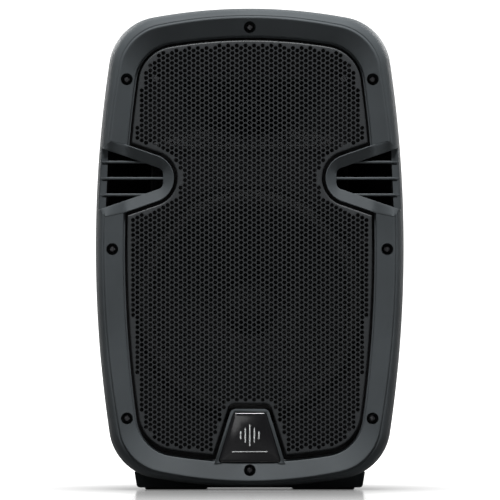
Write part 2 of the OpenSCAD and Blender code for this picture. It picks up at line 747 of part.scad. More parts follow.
module amp_parts() {
    parts_y = board_y - 1.6;
    color(black) {
        for (x = [-40, -16], z = [board_low + 17, board_high - 17])
            turned([[0, parts_y - 30], [9, parts_y - 30], [10, parts_y - 29], [10, parts_y], [0, parts_y]],
                x = x, z = z, fn = 48);
        span([2, parts_y - 24, board_low + 6], [30, parts_y, board_low + 30]);
        span([36, parts_y - 20, board_low + 12], [48, parts_y, board_low + 30]);
    }
    color("gold")
        turned([[5, parts_y - 9], [12, parts_y - 9], [12, parts_y], [5, parts_y]],
            x = 15, z = board_high - 14, fn = 48);
}
transformer_z = 143;
module power_transformer() {
    color("goldenrod")
        turned([[10, floor_y - 40], [27, floor_y - 40], [30, floor_y - 37], [30, floor_y - 9],
            [27, floor_y - 6], [10, floor_y - 6], [7, floor_y - 9], [7, floor_y - 37]], z = transformer_z, fn = 72);
    color(steel)
        turned([[0, floor_y - 42], [24, floor_y - 42], [24, floor_y - 40], [4, floor_y - 40],
            [4, floor_y - 6], [24, floor_y - 6], [24, floor_y - 4], [4, floor_y - 4], [4, floor_y], [0, floor_y]],
            z = transformer_z, fn = 72);
}
module input_board() {
    color([0.1, 0.32, 0.18])
        span([-62, floor_y - 27.6, 240], [62, floor_y - 26, 322]);
}
module pot_bodies() {
    color(steel)
        for (k = [-2:2])
            difference() {
                union() {
                    rod(k * knob_pitch, knob_z, 3.9, floor_y - 8, panel_y + 1.2);
                    translate([k * knob_pitch, 0, knob_z])
                        span([-8, floor_y - 26, -9], [8, floor_y - 8, 9]);
                }
                rod(k * knob_pitch, knob_z, shaft_r + 0.05, floor_y - 12, panel_y + 3, 48);
            }
}
// Knob with its shaft; the pointer rib points up at rest
module knob(k) {
    x = k * knob_pitch;
    skirt = knob_d / 2;
    y0 = panel_y + 1.6;
    y1 = panel_y + 1.6 + knob_h - 1.4;
    color(dark_grey)
        difference() {
            union() {
                turned([[0, y0], [skirt, y0], [skirt, y0 + 2], [skirt - 1.6, y0 + 2.6], [skirt - 2.2, y1 - 1],
                    [skirt - 3.2, y1], [0, y1]], x = x, z = knob_z, fn = 48);
                rod(x, knob_z, shaft_r, floor_y - 11.5, y0 + 1, 48);
                translate([x, 0, knob_z])
                    span([-0.6, y0 + 1, 0], [0.6, y1 + 0.3, skirt - 0.6]);
            }
            for (a = [30:30:330])
                translate([x, 0, knob_z])
                    rotate([0, a, 0])
                        rod(0, skirt - 0.9, 1.1, y0 + 2.9, y1 + 2, 16);
        }
}
module knob_input_1() knob(-2);
module knob_input_2() knob(-1);
module knob_bass() knob(0);
module knob_treble() knob(1);
module knob_main() knob(2);

latch_w = 8;
latch_h = 4.8;
// Combination socket: a jack bore in the middle of three pin holes, in a D-shaped flange
module combo_jack(x) {
    flange_y = panel_y + 3;
    color(black)
        difference() {
            union() {
                translate([x, 0, jack_z])
                    slab(panel_y, flange_y)
                        polygon(round_rect(26, 31, 4));
                rod(x, jack_z, 11.8, floor_y - 24, panel_y + 0.5, 64);
            }
            turned([[8.6, panel_y - 1], [9.6, panel_y - 1], [9.6, flange_y + 1], [8.6, flange_y + 1]],
                x = x, z = jack_z, fn = 64);
            rod(x, jack_z, 3.25, floor_y - 20, flange_y + 1, 48);
            for (a = [-60, 180, 60])
                rod(x + 6 * sin(a), jack_z + 6 * cos(a), 1.3, floor_y - 8, flange_y + 1, 24);
            for (p = flange_holes)
                rod(x + p[0], jack_z + p[1], 1.6, panel_y - 1, flange_y + 1, 24);
            translate([x, 0, jack_z])
                span([-latch_w / 2 - 0.4, panel_y + 0.8, 10], [latch_w / 2 + 0.4, flange_y + 1, 16.5]);
        }
}
// Release tab that slides down towards the socket's middle
module jack_latch(x) {
    color([0.35, 0.36, 0.38])
        translate([x, 0, jack_z])
            span([-latch_w / 2, panel_y + 1.2, 17 - latch_h], [latch_w / 2, panel_y + 3.8, 17]);
}
module combo_jack_1() combo_jack(combo_x[0]);
module combo_jack_2() combo_jack(combo_x[1]);
module jack_latch_1() jack_latch(combo_x[0]);
module jack_latch_2() jack_latch(combo_x[1]);

module link_connector() {
    flange_y = panel_y + 3;
    color(black)
        difference() {
            union() {
                translate([link_x, 0, jack_z])
                    slab(panel_y, flange_y)
                        polygon(round_rect(26, 31, 4));
                rod(link_x, jack_z, 11.8, floor_y - 22, panel_y + 0.5, 64);
            }
            rod(link_x, jack_z, 9.3, floor_y - 12, flange_y + 1, 64);
            for (p = flange_holes)
                rod(link_x + p[0], jack_z + p[1], 1.6, panel_y - 1, flange_y + 1, 24);
        }
    color("gold")
        for (a = [-60, 180, 60])
            rod(link_x + 5 * sin(a), jack_z + 5 * cos(a), 1.2, floor_y - 12, panel_y + 0.6, 24);
}
module phono_sockets() {
    color(black)
        for (s = phono_spots)
            turned([[5.2, panel_y], [6.6, panel_y], [6.6, panel_y + 1], [5.2, panel_y + 1]],
                x = s[0], z = s[1], fn = 40);
    color(zinc)
        for (s = phono_spots)
            turned([[1.7, floor_y - 12], [3, floor_y - 12], [3, panel_y], [4.15, panel_y], [4.15, panel_y + 9],
                [1.7, panel_y + 9]], x = s[0], z = s[1], fn = 48);
}
module pairing_button() {
    color([0.55, 0.57, 0.6])
        turned([[0, floor_y - 3], [4.6, floor_y - 3], [4.6, floor_y - 1.6], [3.1, floor_y - 1.6],
            [3.1, panel_y + 2.4], [2.6, panel_y + 2.9], [0, panel_y + 2.9]],
            x = button_spot[0], z = button_spot[1], fn = 40);
}
module indicator_lights() {
    color("limegreen")
        for (s = light_spots)
            turned([[0, floor_y - 4], [2.2, floor_y - 4], [2.2, floor_y], [1.5, floor_y], [1.5, panel_y + 0.6],
                [1, panel_y + 1.2], [0, panel_y + 1.4]], x = s[0], z = s[1], fn = 24);
}
drawer_low = -15.4;
drawer_high = -9.4;
module power_inlet() {
    color(black)
        difference() {
            translate([inlet_x, 0, mains_z])
                union() {
                    slab(panel_y, panel_y + 2.6)
                        polygon(round_rect(44, 37, 3));
                    slab(floor_y - 24, panel_y + 0.5)
                        polygon(round_rect(27.6, 33.6, 1.5));
                }
            translate([inlet_x, 0, mains_z + 4])
                slab(floor_y - 14, panel_y + 5)
                    polygon([[-12.2, -8], [12.2, -8], [12.2, 3.5], [7.7, 8], [-7.7, 8], [-12.2, 3.5]]);
            translate([inlet_x, 0, mains_z])
                span([-9.4, floor_y - 20, drawer_low], [9.4, panel_y + 5, drawer_high]);
            for (x = [-inlet_screw_x, inlet_screw_x])
                rod(inlet_x + x, mains_z, 1.6, panel_y - 1, panel_y + 5, 24);
        }
    color(steel)
        for (b = [[-7, 0], [7, 0], [0, 4]])
            translate([inlet_x + b[0], 0, mains_z + 3 + b[1]])
                span([-1, floor_y - 14, -2], [1, panel_y - 6, 2]);
}
module fuse_drawer() {
    color(dark_grey)
        translate([inlet_x, 0, mains_z])
            difference() {
                union() {
                    span([-9, floor_y - 17, drawer_low + 0.4], [9, panel_y + 2.4, drawer_high - 0.4]);
                    span([-9, panel_y + 2.2, drawer_low + 0.4], [9, panel_y + 4, drawer_high - 0.4]);
                }
                span([-7, floor_y - 15, drawer_low + 2], [7, panel_y - 4, drawer_high + 1]);
            }
}
rocker_tilt = 11;
rocker_axis_y = panel_y + 0.6;
rocker_pin_r = 1.2;
module rocker_frame() {
    color(black)
        difference() {
            translate([rocker_x, 0, mains_z])
                difference() {
                    union() {
                        slab(panel_y, panel_y + 1.8)
                            polygon(round_rect(23, 31, 2));
                        slab(floor_y - 14, panel_y + 0.5)
                            polygon(round_rect(19, 27.6, 1));
                    }
                    slab(floor_y - 12, panel_y + 3)
                        square([15.8, 24.8], center = true);
                }
            translate([rocker_x - 9.4, rocker_axis_y, mains_z])
                rotate([0, 90, 0])
                    cylinder(h = 18.8, r = rocker_pin_r + 0.05, $fn = 32);
        }
}
// Paddle with its two pins, tipped to the off side at rest
module power_rocker() {
    color([0.12, 0.12, 0.13])
        translate([rocker_x, rocker_axis_y, mains_z])
            rotate([-rocker_tilt, 0, 0]) {
                translate([-7.5, 0, 0])
                    rotate([90, 0, 90])
                        linear_extrude(height = 15)
                            polygon([[3.6, -11], [2.2, -6], [1.6, 0], [2.2, 6], [3.6, 11], [0, 11.2],
                                [-6, 6], [-6, -6], [0, -11.2]]);
                translate([-9.2, 0, 0])
                    rotate([0, 90, 0])
                        cylinder(h = 18.4, r = rocker_pin_r, $fn = 32);
            }
}

module panel_screws() {
    color(steel) {
        for (s = panel_screw_spots)
            panel_screw(s, panel_y, 3.2, 1.5, floor_y - 9);
        for (s = flange_screws)
            panel_screw(s, panel_y + (s[1] < jack_z - 20 ? 2.6 : 3), 2.6, 1.4, floor_y - 4);
    }
}
module panel_screw(spot, seat_y, head_r, shank_r, end_y) {
    difference() {
        union() {
            rod(spot[0], spot[1], head_r, seat_y, seat_y + 1.8, 32);
            rod(spot[0], spot[1], shank_r, end_y, seat_y, 24);
        }
        cross_slot(spot, seat_y + 1.8, head_r * 1.1, 1);
    }
}

// ---- pole socket, feet and handle ----
module pole_socket() {
    color(black)
        translate([0, pole_y, 0])
            difference() {
                union() {
                    translate([0, 0, plinth_z])
                        cylinder(h = 3.5, r = 33, $fn = 72);
                    translate([0, 0, plinth_z])
                        cylinder(h = pole_depth + 3, r = pole_d / 2 + 3, $fn = 72);
                }
                translate([0, 0, plinth_z - 1])
                    cylinder(h = pole_depth + 1, r = pole_d / 2, $fn = 72);
            }
}
module rubber_feet() {
    color(black)
        for (f = feet)
            translate([f[0], f[1], 0])
                capped_loft([for (q = [[plinth_z + foot_recess, 0], [1.2, 0], [0, 1.2]])
                    [for (p = round_rect(f[2] - 2 * q[1], foot_d - 2 * q[1], 6 - q[1])) [p[0], p[1], q[0]]]]);
}
crown_r = 500;
lip = 1;
module crowned(w, d, r, top, bottom) {
    intersection() {
        translate([0, 0, bottom])
            linear_extrude(height = top - bottom + 10)
                polygon(round_rect(w, d, r));
        translate([0, d, top - crown_r])
            rotate([90, 0, 0])
                cylinder(h = 2 * d, r = crown_r, $fn = 360);
    }
}
module handle_frame() {
    color(dark_grey)
        on_top()
            difference() {
                crowned(handle_w - 0.6, handle_d - 0.6, 13.7, lip, -12);
                translate([0, 0, -20])
                    linear_extrude(height = 40)
                        polygon(round_rect(handle_w - 7, handle_d - 7, 10.5));
            }
}
module handle_cup() {
    color(black)
        on_top()
            difference() {
                translate([0, 0, -52])
                    linear_extrude(height = 40)
                        polygon(round_rect(handle_w - 0.6, handle_d - 0.6, 13.7));
                translate([0, 0, -49.5])
                    linear_extrude(height = 50)
                        polygon(round_rect(handle_w - 5.6, handle_d - 5.6, 11.2));
            }
}
module handle_grip() {
    color(black)
        on_top()
            translate([-(handle_w - 7) / 2, 0, -9])
                rotate([90, 0, 90])
                    linear_extrude(height = handle_w - 7)
                        polygon(round_rect(27, 14, 6, 8));
}

// ---- inside the cabinet ----
wadding_t = 16;
module damping_wadding() {
    color([0.12, 0.12, 0.13])
        mirror_pair()
            translate([84, 59, 220])
                rotate([90, 0, 90])
                    linear_extrude(height = wadding_t)
                        polygon(round_rect(58, 220, 12));
}
lead_r = 1.6;
// Each lead ends on the amplifier board's face
lead_end_y = board_y - 1.7;
woofer_lead = [[87.5, -35, 136], [88, -24, 136], [88, -8, 137], [84, 12, 142], [76, 34, 152],
    [66, 54, 166], [58, 68, 180], [51, 77, 196], [50, 81, 200], [50, lead_end_y, 200]];
horn_lead = [[8, 2.2, 402], [8, 8, 401], [12, 16, 394], [24, 26, 374], [38, 36, 346], [50, 46, 312],
    [58, 54, 280], [60, 60, 252], [56, 68, 234], [49, 76, 224], [48, 80.5, 222], [48, lead_end_y, 222]];
module wiring_loom() {
    color("firebrick")
        swept_tube(woofer_lead, lead_r);
    color("black")
        swept_tube(horn_lead, lead_r);
}

front_shell();
rear_shell();
shell_gasket();
case_screws();
grille();
port_duct_left();
port_duct_right();
badge_frame();
badge_plate();
woofer_frame();
woofer_gasket();
woofer_surround();
woofer_cone();
woofer_dust_cap();
woofer_voice_coil();
woofer_spider();
woofer_top_plate();
woofer_magnet();
woofer_pole_piece();
woofer_terminals();
horn_flare();
speaker_screws();
driver_pole_piece();
driver_phase_plug();
driver_magnet();
driver_top_plate();
driver_diaphragm();
driver_rear_cover();
amp_panel();
amp_heatsink();
amp_board();
amp_parts();
power_transformer();
input_board();
pot_bodies();
knob_input_1();
knob_input_2();
knob_bass();
knob_treble();
knob_main();
combo_jack_1();
combo_jack_2();
jack_latch_1();
jack_latch_2();
link_connector();
phono_sockets();
pairing_button();
indicator_lights();
power_inlet();
fuse_drawer();
rocker_frame();
power_rocker();
panel_screws();
pole_socket();
rubber_feet();
handle_frame();
handle_cup();
handle_grip();
damping_wadding();
wiring_loom();
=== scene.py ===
"""Looks of a ten inch powered PA speaker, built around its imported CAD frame.

Shapes are worked out in millimetres and turned into metres when a mesh is made. A part is a pair: its points
and its faces. Flat points are (x, z), or (x, y) for what stands upright.
"""
import json
import math
from contextlib import contextmanager

import bmesh
import bpy
from mathutils import Matrix, Quaternion, Vector, geometry, noise

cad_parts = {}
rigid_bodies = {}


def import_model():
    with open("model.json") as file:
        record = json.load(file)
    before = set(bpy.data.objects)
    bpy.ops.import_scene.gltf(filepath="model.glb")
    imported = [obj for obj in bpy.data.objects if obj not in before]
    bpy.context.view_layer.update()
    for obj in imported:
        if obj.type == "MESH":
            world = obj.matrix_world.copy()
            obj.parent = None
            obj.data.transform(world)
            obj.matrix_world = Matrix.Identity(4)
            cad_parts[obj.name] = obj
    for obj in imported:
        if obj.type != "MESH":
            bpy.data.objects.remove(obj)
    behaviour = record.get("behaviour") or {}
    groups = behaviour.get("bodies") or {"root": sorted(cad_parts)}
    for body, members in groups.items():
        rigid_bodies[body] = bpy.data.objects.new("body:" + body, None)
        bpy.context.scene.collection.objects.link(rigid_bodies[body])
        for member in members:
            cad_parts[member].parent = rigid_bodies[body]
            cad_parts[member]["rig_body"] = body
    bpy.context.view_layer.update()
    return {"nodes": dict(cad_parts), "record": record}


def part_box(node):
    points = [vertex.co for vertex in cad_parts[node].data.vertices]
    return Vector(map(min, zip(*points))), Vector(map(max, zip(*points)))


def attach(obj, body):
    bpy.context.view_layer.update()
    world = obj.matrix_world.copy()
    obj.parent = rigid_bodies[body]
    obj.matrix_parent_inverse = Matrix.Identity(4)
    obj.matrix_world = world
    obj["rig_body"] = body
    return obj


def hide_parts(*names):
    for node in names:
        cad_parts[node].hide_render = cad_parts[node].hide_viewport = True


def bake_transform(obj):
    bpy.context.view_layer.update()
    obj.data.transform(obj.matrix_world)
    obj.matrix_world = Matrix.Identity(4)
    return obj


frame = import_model()
MM = 0.001


# ---- the frame's sizes, in mm
def box_mm(node):
    """Lowest and highest corner of a CAD node."""
    low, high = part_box(node)
    return low / MM, high / MM


def middle_z(node):
    low, high = box_mm(node)
    return (low.z + high.z) / 2


front_low, front_high = box_mm("front_shell")
FRONT_Y = front_low.y
SEAM_Y = front_high.y
REAR_Y = box_mm("rear_shell")[1].y
GRILLE_Y = box_mm("grille")[0].y
PANEL_Y = box_mm("amp_panel")[1].y
DUCT_BACK_Y = box_mm("port_duct_left")[1].y
HALF_W = front_high.x
HALF_H = (front_high.z - front_low.z) / 2
MID_Z = middle_z("front_shell")
WOOFER_Z = middle_z("woofer_frame")
HORN_Z = middle_z("horn_flare")
PORT_Z = middle_z("port_duct_left")
BEZEL_DEPTH = 7.5
BEZEL_SLOPE = BEZEL_DEPTH / 20
BEZEL_Y = FRONT_Y + BEZEL_DEPTH
BAFFLE_Y = FRONT_Y + 24.5
BAFFLE_BACK_Y = BAFFLE_Y + 5
FLOOR_Y = PANEL_Y - 2
WALL = 4
SEAM_TAPER = 1.5

# Outlines: half width, half height, side radius, top radius, corner radius, centre height
RIM = (HALF_W, HALF_H, 1273, 535, 53.8, MID_Z)
RIDGE = (HALF_W - 7.6, HALF_H - 6.1, 1070, 441, 51.5, MID_Z - 1.5)
BEZEL = (HALF_W - 27.7, HALF_H - 26.1, 1248, 489, 42.7, MID_Z - 1.8)
GRILLE = (HALF_W - 31.9, HALF_H - 31.6, 1244, 485, 38.7, MID_Z - 0.7)
REAR = (110, 226, 1100, 450, 45, 234)
SEAM = tuple(v - SEAM_TAPER for v in RIM[:5]) + (MID_Z,)


# ---- flat shapes
def inset(p, t):
    """Outline p moved inwards by t, keeping its arc centres."""
    return tuple(v - t for v in p[:5]) + (p[5],)


def mix(a, b, f):
    if isinstance(a, tuple):
        return tuple(mix(u, v, f) for u, v in zip(a, b))
    return a + (b - a) * f


def smooth(x, low, high):
    """0 below low and 1 above high, with a soft step between."""
    t = min(max((x - low) / (high - low), 0), 1)
    return t * t * (3 - 2 * t)


def moved(points, x, z):
    return [(x + u, z + v) for u, v in points]


def both_sides(points):
    """Points on the right, then their mirror images on the left."""
    return [(s * x, z) for s in (1, -1) for x, z in points]


def arc(centre, r, start, end, n, last=False):
    """Points of an arc in n steps; angles in degrees."""
    angles = (math.radians(start + (end - start) * i / n) for i in range(n + last))
    return [(centre[0] + r * math.cos(a), centre[1] + r * math.sin(a)) for a in angles]


def outline(p, side=56, corner=24, top=40):
    """Convex outline of four long arcs and four corner arcs."""
    w, h, rs, rt, rc, mid = p
    sx, tz = w - rs, h - rt
    span = Vector((-sx, tz))
    d = span.length
    along = ((rs - rc) ** 2 - (rt - rc) ** 2 + d * d) / (2 * d)
    off = math.sqrt((rs - rc) ** 2 - along ** 2)
    u = span / d
    cx = sx + along * u.x - off * u.y
    cz = along * u.y + off * u.x
    a = math.degrees(math.atan2(cz, cx - sx))
    b = math.degrees(math.atan2(cz - tz, cx))
    half = arc((sx, 0), rs, -a, a, side) + arc((cx, cz), rc, a, b, corner)
    half += arc((0, tz), rt, b, 180 - b, top) + arc((-cx, cz), rc, 180 - b, 180 - a, corner)
    return moved(half + [(-x, -z) for x, z in half], 0, mid)


def round_rect(w, h, r, n=8):
    """Rectangle w by h with corner radius r."""
    points = []
    for sx, sz, start in ((1, 1, 0), (-1, 1, 90), (-1, -1, 180), (1, -1, 270)):
        points += arc((sx * (w / 2 - r), sz * (h / 2 - r)), r, start, start + 90, n, True)
    return points


def filleted(corners, n=8):
    """Counter-clockwise polygon with each (x, z, radius) corner rounded."""
    points = []
    for i, (x, z, r) in enumerate(corners):
        here = Vector((x, z))
        back = (Vector(corners[i - 1][:2]) - here).normalized()
        ahead = (Vector(corners[(i + 1) % len(corners)][:2]) - here).normalized()
        if r == 0:
            points.append((x, z))
            continue
        half = math.acos(max(-1, min(1, back.dot(ahead)))) / 2
        centre = here + (back + ahead).normalized() * r / math.sin(half)
        first = here + back * r / math.tan(half) - centre
        second = here + ahead * r / math.tan(half) - centre
        start, turn = math.atan2(first.y, first.x), math.atan2(first.cross(second), first.dot(second))
        points += arc(centre, r, math.degrees(start), math.degrees(start + turn), n, True)
    return points


def trapezoid(top_half, bottom_half, top_z, bottom_z, r):
    """Trapezoid with round top corners."""
    return filleted([(bottom_half, bottom_z, 0), (top_half, top_z, r), (-top_half, top_z, r),
                     (-bottom_half, bottom_z, 0)], 10)


def offset_loop(points, t):
    """Counter-clockwise polygon moved inwards by t, with mitred corners."""
    shifted = []
    n = len(points)
    for i in range(n):
        a, b, c = (Vector(points[k % n]) for k in (i - 1, i, i + 1))
        e0, e1 = (b - a).normalized(), (c - b).normalized()
        n0, n1 = Vector((-e0.y, e0.x)), Vector((-e1.y, e1.x))
        mitre = n0 + n1
        scale = t / max(0.35, 1 + n0.dot(n1)) if mitre.length > 1e-6 else 0
        shifted.append(tuple(b + mitre * scale))
    return shifted


def without_doubles(points, gap=0.05):
    kept = [points[0]]
    for p in points[1:]:
        if (Vector(p) - Vector(kept[-1])).length > gap:
            kept.append(p)
    if (Vector(kept[0]) - Vector(kept[-1])).length < gap:
        kept.pop()
    return kept


def in_polygon(x, z, points):
    inside = False
    for (x0, z0), (x1, z1) in zip(points, points[1:] + points[:1]):
        if (z0 > z) != (z1 > z) and x < x0 + (z - z0) * (x1 - x0) / (z1 - z0):
            inside = not inside
    return inside


# ---- parts
def at_y(points, y):
    return [(x, y, z) for x, z in points]


def at_z(points, z):
    return [(x, y, z) for x, y in points]


def ring(p, y):
    return at_y(outline(p), y)


def stepped(p, y, rows):
    """Rings of outline p, each moved inwards and back from y by the two values of its row."""
    return [ring(inset(p, t), y + d) for t, d in rows]


def loft(rings, loop=False):
    """Skin over rings of equal length: a closed loop of rings, or flat caps at its ends."""
    n = len(rings[0])
    rows = len(rings)
    faces = []
    for k in range(rows if loop else rows - 1):
        a, b = k * n, (k + 1) % rows * n
        faces += [(a + i, b + i, b + (i + 1) % n, a + (i + 1) % n) for i in range(n)]
    if not loop:
        faces += [tuple(range(n)), tuple(reversed(range((rows - 1) * n, rows * n)))]
    return [v for r in rings for v in r], faces


def prism(points, y0, y1):
    """Closed prism of (x, z) points from y0 to y1."""
    return loft([at_y(points, y0), at_y(points, y1)])


def upright(points, z0, z1):
    """Closed prism of (x, y) points from z0 to z1."""
    return loft([at_z(points, z0), at_z(points, z1)])


def circle(x, z, r, n=48):
    return arc((x, z), r, 0, 360, n)


def rod(x, z, r, y0, y1, n=48):
    return prism(circle(x, z, r, n), y0, y1)


def turned(profile, x=0, z=0, n=96):
    """Profile of (radius, y) points turned about an axis along Y."""
    return loft([at_y(circle(x, z, r, n), y) for r, y in profile], loop=True)


def joined(*parts):
    """Several parts as one."""
    verts, faces = [], []
    for v, f in parts:
        start = len(verts)
        verts += v
        faces += [tuple(i + start for i in face) for face in f]
    return verts, faces


def mirrored(part):
    """The same part on the other side of X = 0."""
    verts, faces = part
    return [(-x, y, z) for x, y, z in verts], [tuple(reversed(f)) for f in faces]


# ---- mesh tools
def placed(name, data):
    obj = bpy.data.objects.new(name, data)
    bpy.context.scene.collection.objects.link(obj)
    return obj


def add_object(name, part):
    """A mesh object from a part."""
    verts, faces = part
    data = bpy.data.meshes.new(name)
    data.from_pydata([Vector(v) * MM for v in verts], [], faces)
    data.validate()
    return placed(name, data)


@contextmanager
def edited(data):
    """A mesh as a bmesh, which is written back at the end."""
    bm = bmesh.new()
    bm.from_mesh(data)
    yield bm
    bm.to_mesh(data)
    bm.free()


def tidy_mesh(obj, sharp=32.0):
    """Welds, makes the faces look outwards and shades smooth but for edges over sharp degrees."""
    with edited(obj.data) as bm:
        bmesh.ops.remove_doubles(bm, verts=bm.verts, dist=0.01 * MM)
        bmesh.ops.recalc_face_normals(bm, faces=bm.faces)
        for face in bm.faces:
            face.smooth = True
        for edge in bm.edges:
            edge.smooth = len(edge.link_faces) == 2 and edge.calc_face_angle(0) < math.radians(sharp)
    return obj


def wear(obj, material):
    obj.data.materials.clear()
    obj.data.materials.append(material)


def finish_piece(obj, slot, *nodes, body="cabinet", material=None, sharp=32.0):
    """Shades a piece, gives it its slot's look and fastens it to a body in place of CAD nodes."""
    tidy_mesh(obj, sharp)
    wear(obj, material or LOOKS[slot])
    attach(obj, body)
    if nodes:
        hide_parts(*nodes)
    return obj


def make_piece(name, part, slot, *nodes, **options):
    """A finished piece straight from a part."""
    return finish_piece(add_object(name, part), slot, *nodes, **options)


def baked(obj):
    """Applies the modifiers of obj to its mesh."""
    bpy.context.view_layer.update()
    graph = bpy.context.evaluated_depsgraph_get()
    data = bpy.data.meshes.new_from_object(obj.evaluated_get(graph))
    obj.modifiers.clear()
    obj.data = data
    return obj


def carve(obj, part, operation="DIFFERENCE"):
    """Boolean of obj with a closed part."""
    tool = tidy_mesh(add_object("tool", part))
    tidy_mesh(obj)
    modifier = obj.modifiers.new("carve", "BOOLEAN")
    modifier.operation = operation
    modifier.solver = "MANIFOLD"
    modifier.object = tool
    baked(obj)
    bpy.data.objects.remove(tool)


def bevelled(obj, width, segments=2, angle=40):
    """Rounds the edges of obj that turn by more than angle degrees."""
    bevel = obj.modifiers.new("edges", "BEVEL")
    bevel.width = width * MM
    bevel.segments = segments
    bevel.limit_method = "ANGLE"
    bevel.angle_limit = math.radians(angle)
    baked(obj)


def tint(obj, material, test):
    """Gives another material to the faces whose centre, in mm, passes the test."""
    obj.data.materials.append(material)
    for face in obj.data.polygons:
        if test(*(face.center / MM)):
            face.material_index = len(obj.data.materials) - 1


# ---- materials
class Nodes:
    """Short calls for a node tree. An input takes a constant or another node's output."""

    def __init__(self, owner, **values):
        owner.use_nodes = True
        self.owner = owner
        self.tree = owner.node_tree
        self.shader = self.tree.nodes.get("Principled BSDF") or self.tree.nodes["Background"]
        self.finish(**values)

    def feed(self, node, *values, **named):
        """Fills a node's first inputs in order, then its inputs and settings by name."""
        pairs = list(zip(node.inputs, values))
        for key, value in named.items():
            socket = node.inputs.get(key.replace("_", " "))
            if socket is None:
                setattr(node, key, value)
            else:
                pairs.append((socket, value))
        for socket, value in pairs:
            if isinstance(value, bpy.types.NodeSocket):
                self.tree.links.new(value, socket)
            else:
                socket.default_value = value
        return node

    def finish(self, **values):
        """Fills the main shader's inputs and gives the material or world."""
        self.feed(self.shader, **values)
        return self.owner

    def add(self, kind, *values, **named):
        return self.feed(self.tree.nodes.new("ShaderNode" + kind), *values, **named)

    def texture(self, kind, scale, **values):
        """Texture in object space; scale is in features per metre."""
        return self.add(kind, self.add("TexCoord").outputs["Object"], Scale=scale, **values)

    def noise(self, scale, detail, **values):
        return self.texture("TexNoise", scale, Detail=detail, **values).outputs["Fac"]

    def ramp(self, source, low, high, start=0.0, end=1.0):
        """Colours low to high as source goes from start to end."""
        node = self.add("ValToRGB", source)
        for stop, position, colour in zip(node.color_ramp.elements, (start, end), (low, high)):
            stop.position = position
            stop.color = (*colour, 1)
        return node.outputs["Color"]

    def varied(self, source, colour, low, high, start=0.0, end=1.0):
        """The colour times low to times high as source goes from start to end."""
        return self.ramp(source, *(tuple(min(c * f, 1) for c in colour) for f in (low, high)), start, end)

    def fitted(self, source, after, before=(0, 1)):
        """The source's range before, moved and clamped to the range after."""
        return self.add("MapRange", source, *before, *after).outputs["Result"]

    def product(self, a, b):
        return self.add("Math", a, b, operation="MULTIPLY").outputs[0]

    def bump(self, source, distance, strength=1.0, **under):
        """Bumps of a height in metres, on top of the Normal given."""
        node = self.add("Bump", Height=source, Distance=distance, Strength=strength, **under)
        return node.outputs["Normal"]


def nodes_for(name, **values):
    return Nodes(bpy.data.materials.new(name), **values)


def moulded(name, colour, roughness=0.5, grain=2600, depth=0.00006, specular=0.5, mottle=0.12):
    """Moulded plastic or rubber with a fine spark texture and slight colour variation."""
    m = nodes_for(name, Specular_IOR_Level=specular)
    cells = m.texture("TexVoronoi", grain).outputs["Distance"]
    fine = m.noise(grain * 1.7, 3)
    return m.finish(Base_Color=m.varied(m.noise(14, 4), colour, 1 - mottle, 1 + mottle, 0.3, 0.7),
                    Roughness=m.fitted(fine, (roughness - 0.07, roughness + 0.07)),
                    Normal=m.bump(cells, depth, Normal=m.bump(fine, depth * 0.5)))


def powder_coat(name, colour, roughness=0.4, specular=0.5):
    """Powder-coated steel: slight orange peel and fine speckle."""
    m = nodes_for(name, Specular_IOR_Level=specular)
    peel = m.noise(900, 2)
    return m.finish(Base_Color=m.varied(m.noise(5200, 2), colour, 0.8, 1.25, 0.35, 0.65),
                    Roughness=m.fitted(peel, (roughness - 0.05, roughness + 0.05)),
                    Normal=m.bump(peel, 0.00004))


def bare_metal(name, colour, roughness=0.3, lines=True):
    """Turned or plated metal, with fine machining lines or a fine grain."""
    m = nodes_for(name, Metallic=1.0)
    grain = m.noise(1800, 3)
    if lines:
        wave = m.texture("TexWave", 1500, wave_type="RINGS", Distortion=0.6)
        surface = m.bump(wave.outputs["Fac"], 0.00001, 0.6)
    else:
        surface = m.bump(grain, 0.00001)
    return m.finish(Base_Color=m.varied(m.noise(60, 3), colour, 0.85, 1.1, 0.3, 0.7),
                    Roughness=m.fitted(grain, (roughness * 0.7, roughness * 1.3)), Normal=surface)


def polished(name, colour, roughness=0.08):
    """Glossy moulded plastic with faint flow marks."""
    m = nodes_for(name, Specular_IOR_Level=0.3)
    flow = m.noise(30, 2)
    return m.finish(Base_Color=m.varied(flow, colour, 0.85, 1.15), Normal=m.bump(flow, 0.0001, 0.3),
                    Roughness=m.fitted(flow, (roughness * 0.7, roughness * 1.3)))


def fibrous(name, low, high, scale, depth, sheen=0.25):
    """Paper pulp, woven cloth or wadding."""
    m = nodes_for(name, Sheen_Weight=sheen, Sheen_Roughness=0.5, Roughness=0.95, Specular_IOR_Level=0.2)
    weave = m.noise(scale, 6, Roughness=0.7)
    clumps = m.texture("TexVoronoi", scale / 5).outputs["Distance"]
    return m.finish(Base_Color=m.ramp(weave, low, high, 0.3, 0.7),
                    Normal=m.bump(weave, depth, Normal=m.bump(clumps, depth)))


def circuit(name):
    """Solder-masked board with faint tracks."""
    m = nodes_for(name, Specular_IOR_Level=0.5)
    tracks = m.texture("TexBrick", 160, Color1=(0.01, 0.09, 0.03, 1), Color2=(0.012, 0.12, 0.04, 1),
                       Mortar=(0.03, 0.2, 0.08, 1))
    return m.finish(Base_Color=tracks.outputs["Color"], Roughness=m.fitted(m.noise(400, 3), (0.25, 0.45)),
                    Normal=m.bump(tracks.outputs["Fac"], 0.00004))


def lens(name, colour):
    """Clear coloured lens with a faint glow."""
    m = nodes_for(name, Transmission_Weight=0.7, IOR=1.45, Emission_Strength=0.35,
                  Emission_Color=(*colour, 1))
    swirl = m.noise(500, 2)
    return m.finish(Base_Color=m.varied(swirl, colour, 0.8, 1.2), Roughness=m.fitted(swirl, (0.08, 0.2)))


